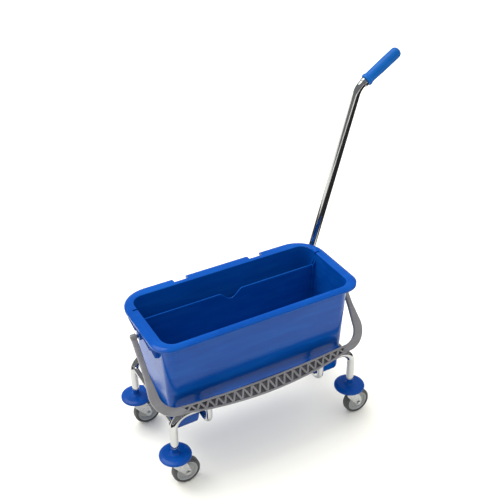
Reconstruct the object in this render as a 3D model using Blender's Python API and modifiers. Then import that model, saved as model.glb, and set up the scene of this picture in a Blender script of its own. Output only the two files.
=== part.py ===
"""Divided mopping bucket on a chromed tube trolley: swivel castors with bumper discs, a swing
handle on the bucket and a push handle on the trolley. Metres, +Z up, standing on z = 0."""

import math

import bmesh
import bpy
from mathutils import Matrix, Vector

GAP = 0.0003  # left between pieces that touch

# Bucket: opening, height and walls
OPENING_LENGTH = 0.554
OPENING_WIDTH = 0.235
BUCKET_DEPTH = 0.315
END_DRAFT = 0.045  # how far the end walls lean in, per unit of depth
SIDE_DRAFT = 0.085
WALL = 0.0035
FLOOR = 0.004
OPENING_CORNER = 0.034
CORNER_DRAFT = 0.07  # how fast that corner tightens, per unit of depth
BASE_FILLET = 0.014
FLANGE_END = 0.030
FLANGE_FRONT = 0.018
FLANGE_BACK = 0.034
FLANGE_THICKNESS = 0.004
LIP_DROP = 0.012
LIP_THICKNESS = 0.003
RIM_FALL = 0.0045  # of the rim's top towards its outer edge
RIM_SLOPE = 0.014
BACK_CORNER = 0.084
FRONT_CORNER = 0.050

# The base stands on two stirrups, with a foot past each of them
STIRRUP_SPAN = 0.352
STIRRUP_RADIUS = 0.009
STIRRUP_BEND = 0.024
FOOT_DEPTH = 0.040
FOOT_CLEARANCE = 0.004

# Notches in the back flange, where a press hooks on
NOTCH_SPACING = 0.236
NOTCH_WIDTH = 0.042
NOTCH_DEPTH = 0.014

# Divider and its grooves
DIVIDER_PLACE = 0.064  # its plane, behind the middle of the opening
DIVIDER_THICKNESS = 0.004
DIVIDER_BELOW_RIM = 0.037
DIVIDER_CLEARANCE = 0.0008
SCOOP_WIDTH = 0.070
SCOOP_DEPTH = 0.024
GROOVE_RIB = 0.004
GROOVE_REACH = 0.009
RIM_SLOT_LENGTH = 0.013

# Swing handle, folded down onto the front rail
PIVOT_BELOW_RIM = 0.038
PIVOT_PLACE = 0.005
PIN_RADIUS = 0.0045
PIN_HEAD_RADIUS = 0.0070
PIN_HEAD = 0.0018
PIN_DEPTH = 0.018
BOSS_RADIUS = 0.013
HANDLE_CLEARANCE = 0.0016
BAR_INSET = 0.0064  # of the grip's ends, short of the front rail
HANDLE_THICKNESS = 0.012
HANDLE_CORNER = 0.061
HANDLE_BOW = 0.015
ARM_WIDTH = 0.015
BAND_WIDTH = 0.026
GRIP_WIDTH = 0.038
BAR_WAIST = 0.007  # outer half of the grip at its ends, drawn in over the rail
EYE_RADIUS = 0.0090
TRUSS_RAIL = 0.0055
TRUSS_WEB = 0.0045
TRUSS_PITCH = 0.0256
HANDLE_WEB = 0.0025  # left behind the pockets

# Gussets that stiffen the end flanges, to either side of the pivot
GUSSET_OFFSETS = (0.030, 0.066)
GUSSET_HEIGHT = 0.072
GUSSET_THICKNESS = 0.005

# Trolley
BUCKET_CLEARANCE = 0.0165  # from the opening's long edges to the rails
LEG_LENGTH = 0.103  # from its foot up to the rail
FEET_BELOW_RAIL = 0.095
TUBE_RADIUS = 0.011
TUBE_WALL = 0.0018
TUBE_BEND = 0.045
CROSS_TUBE_RADIUS = 0.008
CROSS_TUBE_DROP = 0.028  # below the rails

# Castors and bumper discs
WHEEL_RADIUS = 0.040
WHEEL_WIDTH = 0.026
TYRE_DEPTH = 0.0085
WHEEL_SIDES = 24  # shared by the tyre and its centre, so that their faces line up
CORE_WIDTH = 0.022
AXLE_RADIUS = 0.004
TRAIL = 0.027
FORK_PLATE = 0.0025
FORK_GAP = 0.0018
CROWN_RADIUS = 0.017
CROWN_CLEARANCE = 0.005  # over the wheel
CROWN_HEIGHT = 0.0175
STEM_RADIUS = 0.005
STEM_HEAD_RADIUS = 0.009
STEM_HEAD = 0.003
PLUG_LENGTH = 0.040
PLUG_FLANGE = 0.002
BUMPER_RADIUS = 0.045
BUMPER_THICKNESS = 0.0118
BUMPER_NECK = 0.0085
NECK_RISE = 0.0202
BUMPER_CLEARANCE = 0.0012

# Push handle
PUSH_LEAN = math.radians(16.1)
PUSH_INSET = 0.0265  # of its axis at rail height, from the right leg
PUSH_RISE = 0.665  # from the rail to its bend
PUSH_BEND = 0.045
GRIP_TILT = math.radians(33.0)
GRIP_LENGTH = 0.127
GRIP_START = 0.028  # along the top stretch, past the bend's corner
GRIP_RADIUS = 0.0165
GRIP_INSERT = 0.095
SOCKET_LENGTH = 0.075
SOCKET_WALL = 0.0025
BOLT_RADIUS = 0.003
BOLT_HEAD_RADIUS = 0.0062
BOLT_HEAD = 0.004
COLLAR_LENGTH = 0.009

# Places that follow from the sizes above
CROWN_BOTTOM = 2 * WHEEL_RADIUS + CROWN_CLEARANCE
CROWN_TOP = CROWN_BOTTOM + CROWN_HEIGHT
DISC_TOP = CROWN_TOP + BUMPER_CLEARANCE + BUMPER_THICKNESS
LEG_FOOT = DISC_TOP + NECK_RISE + GAP + PLUG_FLANGE
RAIL_HEIGHT = LEG_FOOT + LEG_LENGTH
BASE_HEIGHT = RAIL_HEIGHT - FEET_BELOW_RAIL
RIM_TOP = BASE_HEIGHT + BUCKET_DEPTH
FLOOR_LEVEL = BASE_HEIGHT + FOOT_DEPTH
STIRRUP_LEVEL = FLOOR_LEVEL - GAP - STIRRUP_RADIUS
RAIL_Y = OPENING_WIDTH / 2 + BUCKET_CLEARANCE
CROSS_TUBE_HEIGHT = RAIL_HEIGHT - CROSS_TUBE_DROP
WALL_AT_TUBE = OPENING_LENGTH / 2 - (RIM_TOP - CROSS_TUBE_HEIGHT) * END_DRAFT + WALL
CROSS_TUBE_X = WALL_AT_TUBE + GAP + CROSS_TUBE_RADIUS
CROSS_TUBE_INSET = TUBE_BEND - math.sqrt(TUBE_BEND**2 - (TUBE_BEND - CROSS_TUBE_DROP) ** 2)
LEG_X = CROSS_TUBE_X + CROSS_TUBE_INSET
PUSH_FOOT = LEG_X - PUSH_INSET
RIM_END = OPENING_LENGTH / 2 + FLANGE_END
ARM_X = RIM_END + HANDLE_CLEARANCE + ARM_WIDTH / 2
PIVOT = Vector((0.0, PIVOT_PLACE, RIM_TOP - PIVOT_BELOW_RIM))
RAIL = Vector((0.0, -RAIL_Y, RAIL_HEIGHT))
REST_OFFSET = TUBE_RADIUS + HANDLE_THICKNESS / 2 + GAP
SWING_ANGLE = math.atan2(PIVOT.z - RAIL.z, PIVOT.y - RAIL.y) - math.asin(
    REST_OFFSET / (PIVOT - RAIL).length
)
HANDLE_REACH = math.sqrt((PIVOT - RAIL).length_squared - REST_OFFSET**2) - BAR_INSET
LEG_PLACES = [(sx * LEG_X, sy * RAIL_Y) for sx in (-1, 1) for sy in (-1, 1)]
LEG_NAMES = ["left_front", "left_rear", "right_front", "right_rear"]

COLOURS = {
    "blue_plastic": ((0.010, 0.075, 0.360), 0.30, 0.0),
    "bumper_blue": ((0.010, 0.070, 0.400), 0.35, 0.0),
    "grip_blue": ((0.020, 0.150, 0.640), 0.45, 0.0),
    "grey_plastic": ((0.230, 0.230, 0.240), 0.50, 0.0),
    "chromed_tube": ((0.700, 0.710, 0.720), 0.12, 1.0),
    "zinc_plated": ((0.560, 0.570, 0.580), 0.35, 1.0),
    "wheel_core": ((0.420, 0.440, 0.450), 0.50, 0.0),
    "tyre_rubber": ((0.045, 0.048, 0.050), 0.70, 0.0),
}

for old in list(bpy.data.objects):
    bpy.data.objects.remove(old)
parts = bpy.data.collections.new("mopping_bucket")
cutters = bpy.data.collections.new("cutters")
for collection in (parts, cutters):
    bpy.context.scene.collection.children.link(collection)


def material(name):
    """The finish of that name, made once."""
    found = bpy.data.materials.get(name)
    if found:
        return found
    colour, roughness, metallic = COLOURS[name]
    made = bpy.data.materials.new(name)
    made.use_nodes = True
    shader = made.node_tree.nodes["Principled BSDF"]
    shader.inputs["Base Color"].default_value = (*colour, 1.0)
    shader.inputs["Roughness"].default_value = roughness
    shader.inputs["Metallic"].default_value = metallic
    return made


def place(name, data, finish):
    """A named object in the model, with its finish."""
    made = bpy.data.objects.new(name, data)
    parts.objects.link(made)
    made.data.materials.clear()
    made.data.materials.append(material(finish))
    return made


def as_cutter(made):
    """Moves an object to the cutters, hidden from renders."""
    for collection in made.users_collection:
        collection.objects.unlink(made)
    cutters.objects.link(made)
    made.hide_render = True
    made.display_type = "WIRE"
    return made


def settled(made, weld=0.00001, sharp=40.0):
    """The object with its modifiers applied, as a smooth-shaded mesh under the same name."""
    depsgraph = bpy.context.evaluated_depsgraph_get()
    mesh = bpy.data.meshes.new_from_object(made.evaluated_get(depsgraph))
    work = bmesh.new()
    work.from_mesh(mesh)
    bmesh.ops.remove_doubles(work, verts=work.verts, dist=weld)
    work.to_mesh(mesh)
    work.free()
    mesh.shade_smooth()
    mesh.set_sharp_from_angle(angle=math.radians(sharp))
    name, world, finish = made.name, made.matrix_world.copy(), made.data.materials[0].name
    bpy.data.objects.remove(made)
    new = place(name, mesh, finish)
    new.matrix_world = world
    return new


def combine(target, other, operation):
    """Cuts the other object from the target, or joins the two."""
    step = target.modifiers.new(f"{operation.lower()}_{other.name}", "BOOLEAN")
    step.operation = operation
    step.solver = "EXACT"
    step.object = as_cutter(other)
    return target


def box(name, low, high):
    """A box between two corners, to cut with."""
    low, high = Vector(low), Vector(high)
    mesh = bpy.data.meshes.new(name)
    work = bmesh.new()
    bmesh.ops.create_cube(work, size=1.0)
    work.to_mesh(mesh)
    work.free()
    made = place(name, mesh, "blue_plastic")
    made.data.transform(Matrix.Translation((low + high) / 2) @ Matrix.Diagonal((*(high - low), 1.0)))
    return made


def rod(name, start, end, radius, finish="zinc_plated", sides=16):
    """A cylinder between two points."""
    start, end = Vector(start), Vector(end)
    mesh = bpy.data.meshes.new(name)
    work = bmesh.new()
    bmesh.ops.create_cone(
        work, cap_ends=True, segments=sides, radius1=radius, radius2=radius, depth=(end - start).length
    )
    work.to_mesh(mesh)
    work.free()
    made = place(name, mesh, finish)
    turn = (end - start).to_track_quat("Z", "X").to_matrix().to_4x4()
    made.data.transform(Matrix.Translation((start + end) / 2) @ turn)
    return made


def turned(name, profile, finish, steps=32):
    """A profile of (radius, height) pairs, top to bottom down its outer side, turned about Z."""
    mesh = bpy.data.meshes.new(name)
    closed = profile[0][0] > 0.0
    count = len(profile)
    edges = [(i, (i + 1) % count) for i in range(count if closed else count - 1)]
    mesh.from_pydata([(radius, 0.0, height) for radius, height in profile], edges, [])
    made = place(name, mesh, finish)
    screw = made.modifiers.new("turn", "SCREW")
    screw.steps = screw.render_steps = steps
    screw.use_merge_vertices = True
    screw.merge_threshold = 0.00001
    return made


def rounded(corners, radius, steps=4):
    """The polyline through the corners, each inner corner replaced by an arc of that radius."""
    corners = [Vector(corner) for corner in corners]
    points = [corners[0]]
    for before, corner, after in zip(corners, corners[1:], corners[2:]):
        back, ahead = (before - corner).normalized(), (after - corner).normalized()
        half = back.angle(ahead) / 2
        centre = corner + (back + ahead).normalized() * (radius / math.sin(half))
        first = corner + back * (radius / math.tan(half)) - centre
        last = corner + ahead * (radius / math.tan(half)) - centre
        sweep = first.angle(last)
        for step in range(steps + 1):
            turn = sweep * step / steps
            point = first * math.sin(sweep - turn) + last * math.sin(turn)
            points.append(centre + point / math.sin(sweep))
    points.append(corners[-1])
    return points


def tube(name, points, radius, finish, wall=None, resolution=5):
    """A round bar along the points, or a tube with open ends if it has a wall."""
    curve = bpy.data.curves.new(name, "CURVE")
    curve.dimensions = "3D"
    curve.bevel_depth = radius
    curve.bevel_resolution = resolution
    curve.use_fill_caps = wall is None
    spline = curve.splines.new("POLY")
    spline.points.add(len(points) - 1)
    for target, point in zip(spline.points, points):
        target.co = (*point, 1.0)
    made = settled(place(name, curve, finish))
    if wall is None:
        return made
    skin = made.modifiers.new("wall", "SOLIDIFY")
    skin.thickness = wall
    skin.offset = -1.0
    return settled(made)


def slab(name, outline, thickness, finish, holes=()):
    """A flat outline in the XY plane with holes in it, as thick as asked, middle on z = 0."""
    curve = bpy.data.curves.new(name, "CURVE")
    curve.dimensions = "2D"
    curve.fill_mode = "BOTH"
    curve.extrude = thickness / 2
    for loop in (outline, *holes):
        spline = curve.splines.new("POLY")
        spline.points.add(len(loop) - 1)
        for target, (x, y) in zip(spline.points, loop):
            target.co = (x, y, 0.0, 1.0)
        spline.use_cyclic_u = True
    return settled(place(name, curve, finish))


def rounded_rectangle(length, width, corners, centre_y, z, steps=6):
    """A level ring of points, anticlockwise from +X; corners are the back's radius and the front's."""
    ring = []
    for quarter, (sx, sy) in enumerate(((1, 1), (-1, 1), (-1, -1), (1, -1))):
        corner = corners[0] if sy > 0 else corners[1]
        middle = Vector((sx * (length / 2 - corner), centre_y + sy * (width / 2 - corner), z))
        for step in range(steps + 1):
            angle = math.pi / 2 * (quarter + step / steps)
            ring.append(middle + Vector((math.cos(angle), math.sin(angle), 0.0)) * corner)
    return ring


def loft(name, rings, finish):
    """A closed body through level rings, listed from the bottom up."""
    mesh = bpy.data.meshes.new(name)
    work = bmesh.new()
    loops = [[work.verts.new(point) for point in ring] for ring in rings]
    for lower, upper in zip(loops, loops[1:]):
        count = len(lower)
        for i in range(count):
            j = (i + 1) % count
            work.faces.new((lower[i], lower[j], upper[j], upper[i]))
    work.faces.new(list(reversed(loops[0])))
    work.faces.new(loops[-1])
    work.to_mesh(mesh)
    work.free()
    return place(name, mesh, finish)


def end_wall(z):
    """Half the cavity's length at a height."""
    return OPENING_LENGTH / 2 - (RIM_TOP - z) * END_DRAFT


def side_wall(z):
    """Half the cavity's width at a height."""
    return OPENING_WIDTH / 2 - (RIM_TOP - z) * SIDE_DRAFT


def wall_ring(z, outside, inset=0.0):
    """The wall's ring at a height: outside it is larger by the wall, and inset shrinks it."""
    grow = outside - inset
    corner = max(OPENING_CORNER - CORNER_DRAFT * (RIM_TOP - z) + grow, 0.004)
    return rounded_rectangle(
        2 * (end_wall(z) + grow), 2 * (side_wall(z) + grow), (corner, corner), 0.0, z
    )


def basin(name, bottom, top, outside, fillet):
    """A tapered tub shape with a round bottom edge."""
    rings = []
    for step in range(5):
        angle = math.pi / 2 * step / 4
        rings.append(
            wall_ring(bottom + fillet * (1 - math.sin(angle)), outside, fillet * (1 - math.cos(angle)))
        )
    rings.reverse()
    rings.append(wall_ring(top, outside))
    return loft(name, rings, "blue_plastic")


def flange_ring(z, inset):
    """The flange's outer ring at a height, drawn in by an inset."""
    middle = (FLANGE_BACK - FLANGE_FRONT) / 2
    return rounded_rectangle(
        OPENING_LENGTH + 2 * (FLANGE_END - inset),
        OPENING_WIDTH + FLANGE_FRONT + FLANGE_BACK - 2 * inset,
        (BACK_CORNER - inset, FRONT_CORNER - inset),
        middle,
        z,
    )


def bucket():
    """The moulded bucket: tapered walls, a turned-down flange, two feet, grooves and bosses."""
    body = basin("bucket", BASE_HEIGHT, RIM_TOP - FLANGE_THICKNESS / 2, WALL, BASE_FILLET + WALL)
    lip_bottom = RIM_TOP - LIP_DROP
    rings = [flange_ring(lip_bottom, 0.0), flange_ring(RIM_TOP - RIM_FALL, 0.0)]
    for inset in (0.12, 0.35, 0.65, 1.0):
        fall = RIM_FALL * (1 - inset) ** 2.2
        rings.append(flange_ring(RIM_TOP - fall, RIM_SLOPE * inset))
    flange = loft("flange", rings, "blue_plastic")
    under = loft(
        "flange_underside",
        [
            flange_ring(lip_bottom - 0.01, LIP_THICKNESS),
            flange_ring(RIM_TOP - FLANGE_THICKNESS, LIP_THICKNESS),
        ],
        "blue_plastic",
    )
    combine(flange, under, "DIFFERENCE")
    for side in (-1, 1):
        middle = side * NOTCH_SPACING / 2
        edge = OPENING_WIDTH / 2 + FLANGE_BACK
        notch = box(
            f"notch_{side}",
            (middle - NOTCH_WIDTH / 2, edge - NOTCH_DEPTH, lip_bottom - 0.01),
            (middle + NOTCH_WIDTH / 2, edge + 0.01, RIM_TOP + 0.01),
        )
        combine(flange, notch, "DIFFERENCE")
    combine(body, settled(flange), "UNION")
    wall_out = end_wall(PIVOT.z)
    under_rim = RIM_TOP - FLANGE_THICKNESS / 2 - RIM_FALL
    for side in (-1, 1):
        boss = rod(
            f"boss_{side}",
            (side * wall_out, PIVOT.y, PIVOT.z),
            (side * (RIM_END - LIP_THICKNESS), PIVOT.y, PIVOT.z),
            BOSS_RADIUS,
        )
        combine(body, boss, "UNION")
        for offset in GUSSET_OFFSETS:
            for way in (-1, 1):
                y = PIVOT.y + way * offset
                gusset = slab(
                    f"gusset_{side}_{way}_{offset}",
                    [
                        (wall_out - 0.002, under_rim - GUSSET_HEIGHT),
                        (wall_out + 0.010, under_rim - GUSSET_HEIGHT + 0.004),
                        (RIM_END - 0.004, under_rim - 0.020),
                        (RIM_END - 0.004, under_rim),
                        (wall_out - 0.002, under_rim),
                    ],
                    GUSSET_THICKNESS,
                    "blue_plastic",
                )
                turn = Matrix.Rotation(math.pi / 2, 4, "X")
                gusset.data.transform(Matrix.Translation((0.0, y, 0.0)) @ turn)
                if side < 0:
                    gusset.data.transform(Matrix.Diagonal((-1.0, 1.0, 1.0, 1.0)))
                    gusset.data.flip_normals()
                combine(body, gusset, "UNION")
    body = settled(body)
    cavity = basin("cavity", BASE_HEIGHT + FLOOR, RIM_TOP + 0.01, 0.0, BASE_FILLET)
    raised = STIRRUP_SPAN / 2 + STIRRUP_RADIUS + FOOT_CLEARANCE
    raised_floor = box(
        "raised_floor",
        (-raised - FLOOR, -OPENING_WIDTH, 0.0),
        (raised + FLOOR, OPENING_WIDTH, FLOOR_LEVEL + FLOOR),
    )
    combine(cavity, raised_floor, "DIFFERENCE")
    for side in (-1, 1):
        for way in (-1, 1):
            inner = DIVIDER_PLACE + way * (DIVIDER_THICKNESS / 2 + DIVIDER_CLEARANCE)
            outer = inner + way * GROOVE_RIB
            low_y, high_y = sorted((inner, outer))
            rings = []
            for z in (BASE_HEIGHT, RIM_TOP - DIVIDER_BELOW_RIM + 0.012):
                near, far = sorted((side * (end_wall(z) - GROOVE_REACH), side * (OPENING_LENGTH / 2 + 0.004)))
                corners = ((near, low_y), (far, low_y), (far, high_y), (near, high_y))
                rings.append([Vector((x, y, z)) for x, y in corners])
            rib = loft(f"groove_rib_{side}_{way}", rings, "blue_plastic")
            combine(cavity, rib, "DIFFERENCE")
    combine(body, settled(cavity), "DIFFERENCE")
    under_cut = box(
        "under_cut",
        (-raised, -OPENING_WIDTH, 0.0),
        (raised, OPENING_WIDTH, FLOOR_LEVEL),
    )
    combine(body, under_cut, "DIFFERENCE")
    slot = DIVIDER_THICKNESS / 2 + DIVIDER_CLEARANCE
    for side in (-1, 1):
        rim_slot = box(
            f"rim_slot_{side}",
            (side * OPENING_LENGTH / 2 - RIM_SLOT_LENGTH, DIVIDER_PLACE - slot, RIM_TOP - 0.010),
            (side * OPENING_LENGTH / 2 + RIM_SLOT_LENGTH, DIVIDER_PLACE + slot, RIM_TOP + 0.010),
        )
        combine(body, rim_slot, "DIFFERENCE")
        bore = rod(
            f"pivot_bore_{side}",
            (side * (RIM_END - LIP_THICKNESS + 0.004), PIVOT.y, PIVOT.z),
            (side * (ARM_X - ARM_WIDTH / 2 - PIN_DEPTH - GAP), PIVOT.y, PIVOT.z),
            PIN_RADIUS + GAP,
        )
        combine(body, bore, "DIFFERENCE")
    return settled(body)


def divider():
    """The lift-out partition: a flat plate that follows the floor, with a finger scoop on top."""
    top = RIM_TOP - DIVIDER_BELOW_RIM
    low = BASE_HEIGHT + FLOOR + GAP
    high = FLOOR_LEVEL + FLOOR + GAP
    step_x = STIRRUP_SPAN / 2 + STIRRUP_RADIUS + FOOT_CLEARANCE + FLOOR + DIVIDER_CLEARANCE

    chamfer = BASE_FILLET + 0.004
    right = [
        (step_x, high),
        (step_x, low),
        (end_wall(low) - DIVIDER_CLEARANCE - chamfer, low),
        (end_wall(low + chamfer) - DIVIDER_CLEARANCE, low + chamfer),
        (end_wall(top) - DIVIDER_CLEARANCE, top),
    ]
    scoop = []
    for step in range(13):
        x = SCOOP_WIDTH * (0.5 - step / 12)
        scoop.append((x, top - SCOOP_DEPTH * math.cos(math.pi * x / SCOOP_WIDTH) ** 1.5))
    outline = right + scoop + [(-x, z) for x, z in reversed(right)]
    made = slab("divider", outline, DIVIDER_THICKNESS, "blue_plastic")
    made.rotation_euler = (math.pi / 2, 0.0, 0.0)
    made.location = (0.0, DIVIDER_PLACE, 0.0)
    return made


def swing_handle():
    """The moulded carrying handle: two tapered arms and a bowed grip with a truss of ribs."""
    straight = ARM_X - HANDLE_CORNER
    inner_start = OPENING_WIDTH / 2 + FLANGE_FRONT - 0.030

    def half_width(v):
        """Half the arm's width, outwards, at a distance from the pivot."""
        share = min(max((v - inner_start) / (HANDLE_REACH - HANDLE_CORNER - inner_start), 0.0), 1.0)
        return (ARM_WIDTH + (BAND_WIDTH - ARM_WIDTH) * share) / 2

    def bar_edge(x, way):
        """The grip's long edge: its outer side draws in towards the corners."""
        bulge = 1 - (x / straight) ** 2
        end = BAR_WAIST if way > 0 else BAND_WIDTH / 2
        return HANDLE_REACH + HANDLE_BOW * bulge + way * (end + (GRIP_WIDTH / 2 - end) * bulge)

    def edge(way):
        """One long edge of the band, from the right eye round to the left one."""
        side = []
        for v in (0.0, inner_start, HANDLE_REACH - HANDLE_CORNER):
            side.append((ARM_X + way * half_width(v), v))
        end = BAR_WAIST if way > 0 else BAND_WIDTH / 2
        for step in range(1, 9):
            angle = math.pi / 2 * step / 9
            reach = HANDLE_CORNER + way * (BAND_WIDTH / 2 + (end - BAND_WIDTH / 2) * (step / 9) ** 2)
            side.append(
                (
                    straight + reach * math.cos(angle),
                    HANDLE_REACH - HANDLE_CORNER + reach * math.sin(angle),
                )
            )
        for step in range(13):
            x = straight * (1 - step / 12)
            side.append((x, bar_edge(x, way)))
        return side + [(-x, v) for x, v in reversed(side[:-1])]

    pockets = []
    base_half = TRUSS_PITCH / 2 - TRUSS_WEB * 0.9
    count = int(2 * (straight - base_half) / TRUSS_PITCH) + 1
    for index in range(2 * count - 1):
        x = (index - (count - 1)) * TRUSS_PITCH / 2
        way = -1 if index % 2 == 0 else 1
        pockets.append(
            [
                (x - base_half, bar_edge(x - base_half, way) - way * TRUSS_RAIL),
                (x + base_half, bar_edge(x + base_half, way) - way * TRUSS_RAIL),
                (x, bar_edge(x, -way) + way * (TRUSS_RAIL + TRUSS_WEB * 1.4)),
            ]
        )
    outline = edge(1) + list(reversed(edge(-1)))
    made = slab("swing_handle", outline, HANDLE_THICKNESS, "grey_plastic")
    cut = slab("handle_pockets", pockets[0], HANDLE_THICKNESS, "grey_plastic", pockets[1:])
    cut.location.z = -HANDLE_WEB
    combine(made, cut, "DIFFERENCE")
    for side in (-1, 1):
        start, end = side * (ARM_X - ARM_WIDTH / 2), side * (ARM_X + ARM_WIDTH / 2)
        combine(made, rod(f"eye_{side}", (start, 0, 0), (end, 0, 0), EYE_RADIUS), "UNION")
    made = settled(made)
    for side in (-1, 1):
        start, end = side * (ARM_X - ARM_WIDTH), side * (ARM_X + ARM_WIDTH)
        bore = rod(f"eye_bore_{side}", (start, 0, 0), (end, 0, 0), PIN_RADIUS + GAP)
        combine(made, bore, "DIFFERENCE")
    made = settled(made)
    made.location = PIVOT
    made.rotation_euler = (math.pi + SWING_ANGLE, 0.0, 0.0)
    return made


def pivot_pin(side, name):
    """A headed stud through the swing handle's eye into the bucket's boss."""
    face = ARM_X + ARM_WIDTH / 2 + GAP
    length = ARM_WIDTH + PIN_DEPTH
    profile = [
        (0.0, PIN_HEAD),
        (PIN_HEAD_RADIUS * 0.7, PIN_HEAD),
        (PIN_HEAD_RADIUS, PIN_HEAD * 0.5),
        (PIN_HEAD_RADIUS, 0.0),
        (PIN_RADIUS, 0.0),
        (PIN_RADIUS, -length),
        (0.0, -length),
    ]
    made = settled(turned(name, profile, "zinc_plated", 16))
    made.rotation_euler = (0.0, side * math.pi / 2, 0.0)
    made.location = (side * face, PIVOT.y, PIVOT.z)
    return made


def leg_path(y):
    """The middle line of a leg tube: up one leg, along the rail and down the other."""
    return rounded(
        [
            (-LEG_X, y, LEG_FOOT),
            (-LEG_X, y, RAIL_HEIGHT),
            (LEG_X, y, RAIL_HEIGHT),
            (LEG_X, y, LEG_FOOT),
        ],
        TUBE_BEND,
    )


def coped(made, y):
    """The piece with its end notched to fit against the leg tube at that y."""
    guard = tube(f"guard_{made.name}_{y:.2f}", leg_path(y), TUBE_RADIUS + GAP, "chromed_tube", None, 7)
    return settled(combine(made, guard, "DIFFERENCE"))


def open_ended(made, walls):
    """The bar made hollow by a thinner bar along the same line."""
    return settled(combine(made, walls, "DIFFERENCE"))


def cross_tube(side, name):
    """The tube between a front and a rear leg, notched to both bends."""
    x = side * CROSS_TUBE_X
    ends = [(x, -RAIL_Y, CROSS_TUBE_HEIGHT), (x, RAIL_Y, CROSS_TUBE_HEIGHT)]
    made = tube(name, ends, CROSS_TUBE_RADIUS, "chromed_tube")
    for y in (-RAIL_Y, RAIL_Y):
        made = coped(made, y)
    bore = rod(f"bore_{name}", ends[0], ends[1], CROSS_TUBE_RADIUS - TUBE_WALL)
    return open_ended(made, bore)


def stirrup(side, name):
    """The bar that carries the bucket: down from the front rail, under it and up to the rear."""
    x = side * STIRRUP_SPAN / 2
    corners = [
        (x, -RAIL_Y, RAIL_HEIGHT),
        (x, -RAIL_Y, STIRRUP_LEVEL),
        (x, RAIL_Y, STIRRUP_LEVEL),
        (x, RAIL_Y, RAIL_HEIGHT),
    ]
    made = tube(name, rounded(corners, STIRRUP_BEND), STIRRUP_RADIUS, "chromed_tube")
    for y in (-RAIL_Y, RAIL_Y):
        made = coped(made, y)
    return made


def push_axis(distance):
    """A point on the push handle's straight shaft, that far up from rail height."""
    lean = Vector((math.sin(PUSH_LEAN), 0.0, math.cos(PUSH_LEAN)))
    return Vector((PUSH_FOOT, RAIL_Y, RAIL_HEIGHT)) + lean * distance


def push_corner():
    """Where the shaft's line meets the line of the grip."""
    return push_axis(PUSH_RISE / math.cos(PUSH_LEAN))


def push_handle():
    """The bent shaft, the grip pushed onto it, its collar, and the socket and bolt that hold it."""
    grip_way = Vector((math.cos(GRIP_TILT), 0.0, math.sin(GRIP_TILT)))
    corner = push_corner()
    grip_start = corner + grip_way * GRIP_START
    foot = push_axis(TUBE_RADIUS * 2 + GAP)
    line = rounded([foot, corner, grip_start + grip_way * GRIP_INSERT], PUSH_BEND)
    shaft = tube("push_handle_shaft", line, TUBE_RADIUS, "chromed_tube", TUBE_WALL, 6)
    socket_top = push_axis(SOCKET_LENGTH)
    socket_radius = TUBE_RADIUS + GAP + SOCKET_WALL
    socket = rod("push_handle_socket", push_axis(0.0), socket_top, socket_radius, "chromed_tube", 32)
    socket = coped(socket, RAIL_Y)
    seat = rod("socket_bore", push_axis(TUBE_RADIUS * 2), push_axis(0.2), TUBE_RADIUS + GAP, sides=32)
    socket = settled(combine(socket, seat, "DIFFERENCE"))
    bolt_at = push_axis(SOCKET_LENGTH * 0.68)
    reach = socket_radius + GAP
    across = Vector((0.0, 1.0, 0.0))
    for cut in (shaft, socket):
        near, far = bolt_at - across * 0.03, bolt_at + across * 0.03
        bore = rod(f"bolt_bore_{cut.name}", near, far, BOLT_RADIUS + GAP)
        combine(cut, bore, "DIFFERENCE")
    shaft, socket = settled(shaft), settled(socket)
    length = 2 * reach + 0.003
    profile = [
        (0.0, BOLT_HEAD),
        (BOLT_HEAD_RADIUS * 0.8, BOLT_HEAD),
        (BOLT_HEAD_RADIUS, BOLT_HEAD * 0.6),
        (BOLT_HEAD_RADIUS, 0.0),
        (BOLT_RADIUS, 0.0),
        (BOLT_RADIUS, -length),
        (0.0, -length),
    ]
    bolt = settled(turned("push_handle_bolt", profile, "zinc_plated", 16))
    bolt.rotation_euler = (-math.pi / 2, 0.0, 0.0)
    bolt.location = bolt_at + across * reach
    bore = TUBE_RADIUS + GAP
    collar_profile = [(bore, COLLAR_LENGTH), (TUBE_RADIUS + 0.0028, COLLAR_LENGTH)]
    collar_profile += [(radius, 0.0) for radius, height in reversed(collar_profile)]
    collar = settled(turned("grip_collar", collar_profile, "chromed_tube", 16))
    tilt = grip_way.to_track_quat("Z", "X").to_euler()
    collar.rotation_euler = tilt
    collar.location = grip_start - grip_way * (COLLAR_LENGTH + GAP)
    outer = [(0.0, GRIP_LENGTH)]
    for step in range(1, 7):
        angle = math.pi / 2 * step / 6
        outer.append(
            (GRIP_RADIUS * math.sin(angle), GRIP_LENGTH - 0.013 * (1 - math.cos(angle)))
        )
    outer += [
        (GRIP_RADIUS * 0.97, GRIP_LENGTH * 0.45),
        (GRIP_RADIUS * 0.93, 0.014),
        (GRIP_RADIUS * 1.08, 0.008),
        (GRIP_RADIUS * 1.08, 0.003),
        (GRIP_RADIUS * 0.95, 0.0),
        (bore, 0.0),
        (bore, GRIP_INSERT + GAP),
        (0.0, GRIP_INSERT + GAP),
    ]
    grip = settled(turned("push_handle_grip", outer, "grip_blue", 18))
    grip.rotation_euler = tilt
    grip.location = grip_start


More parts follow.
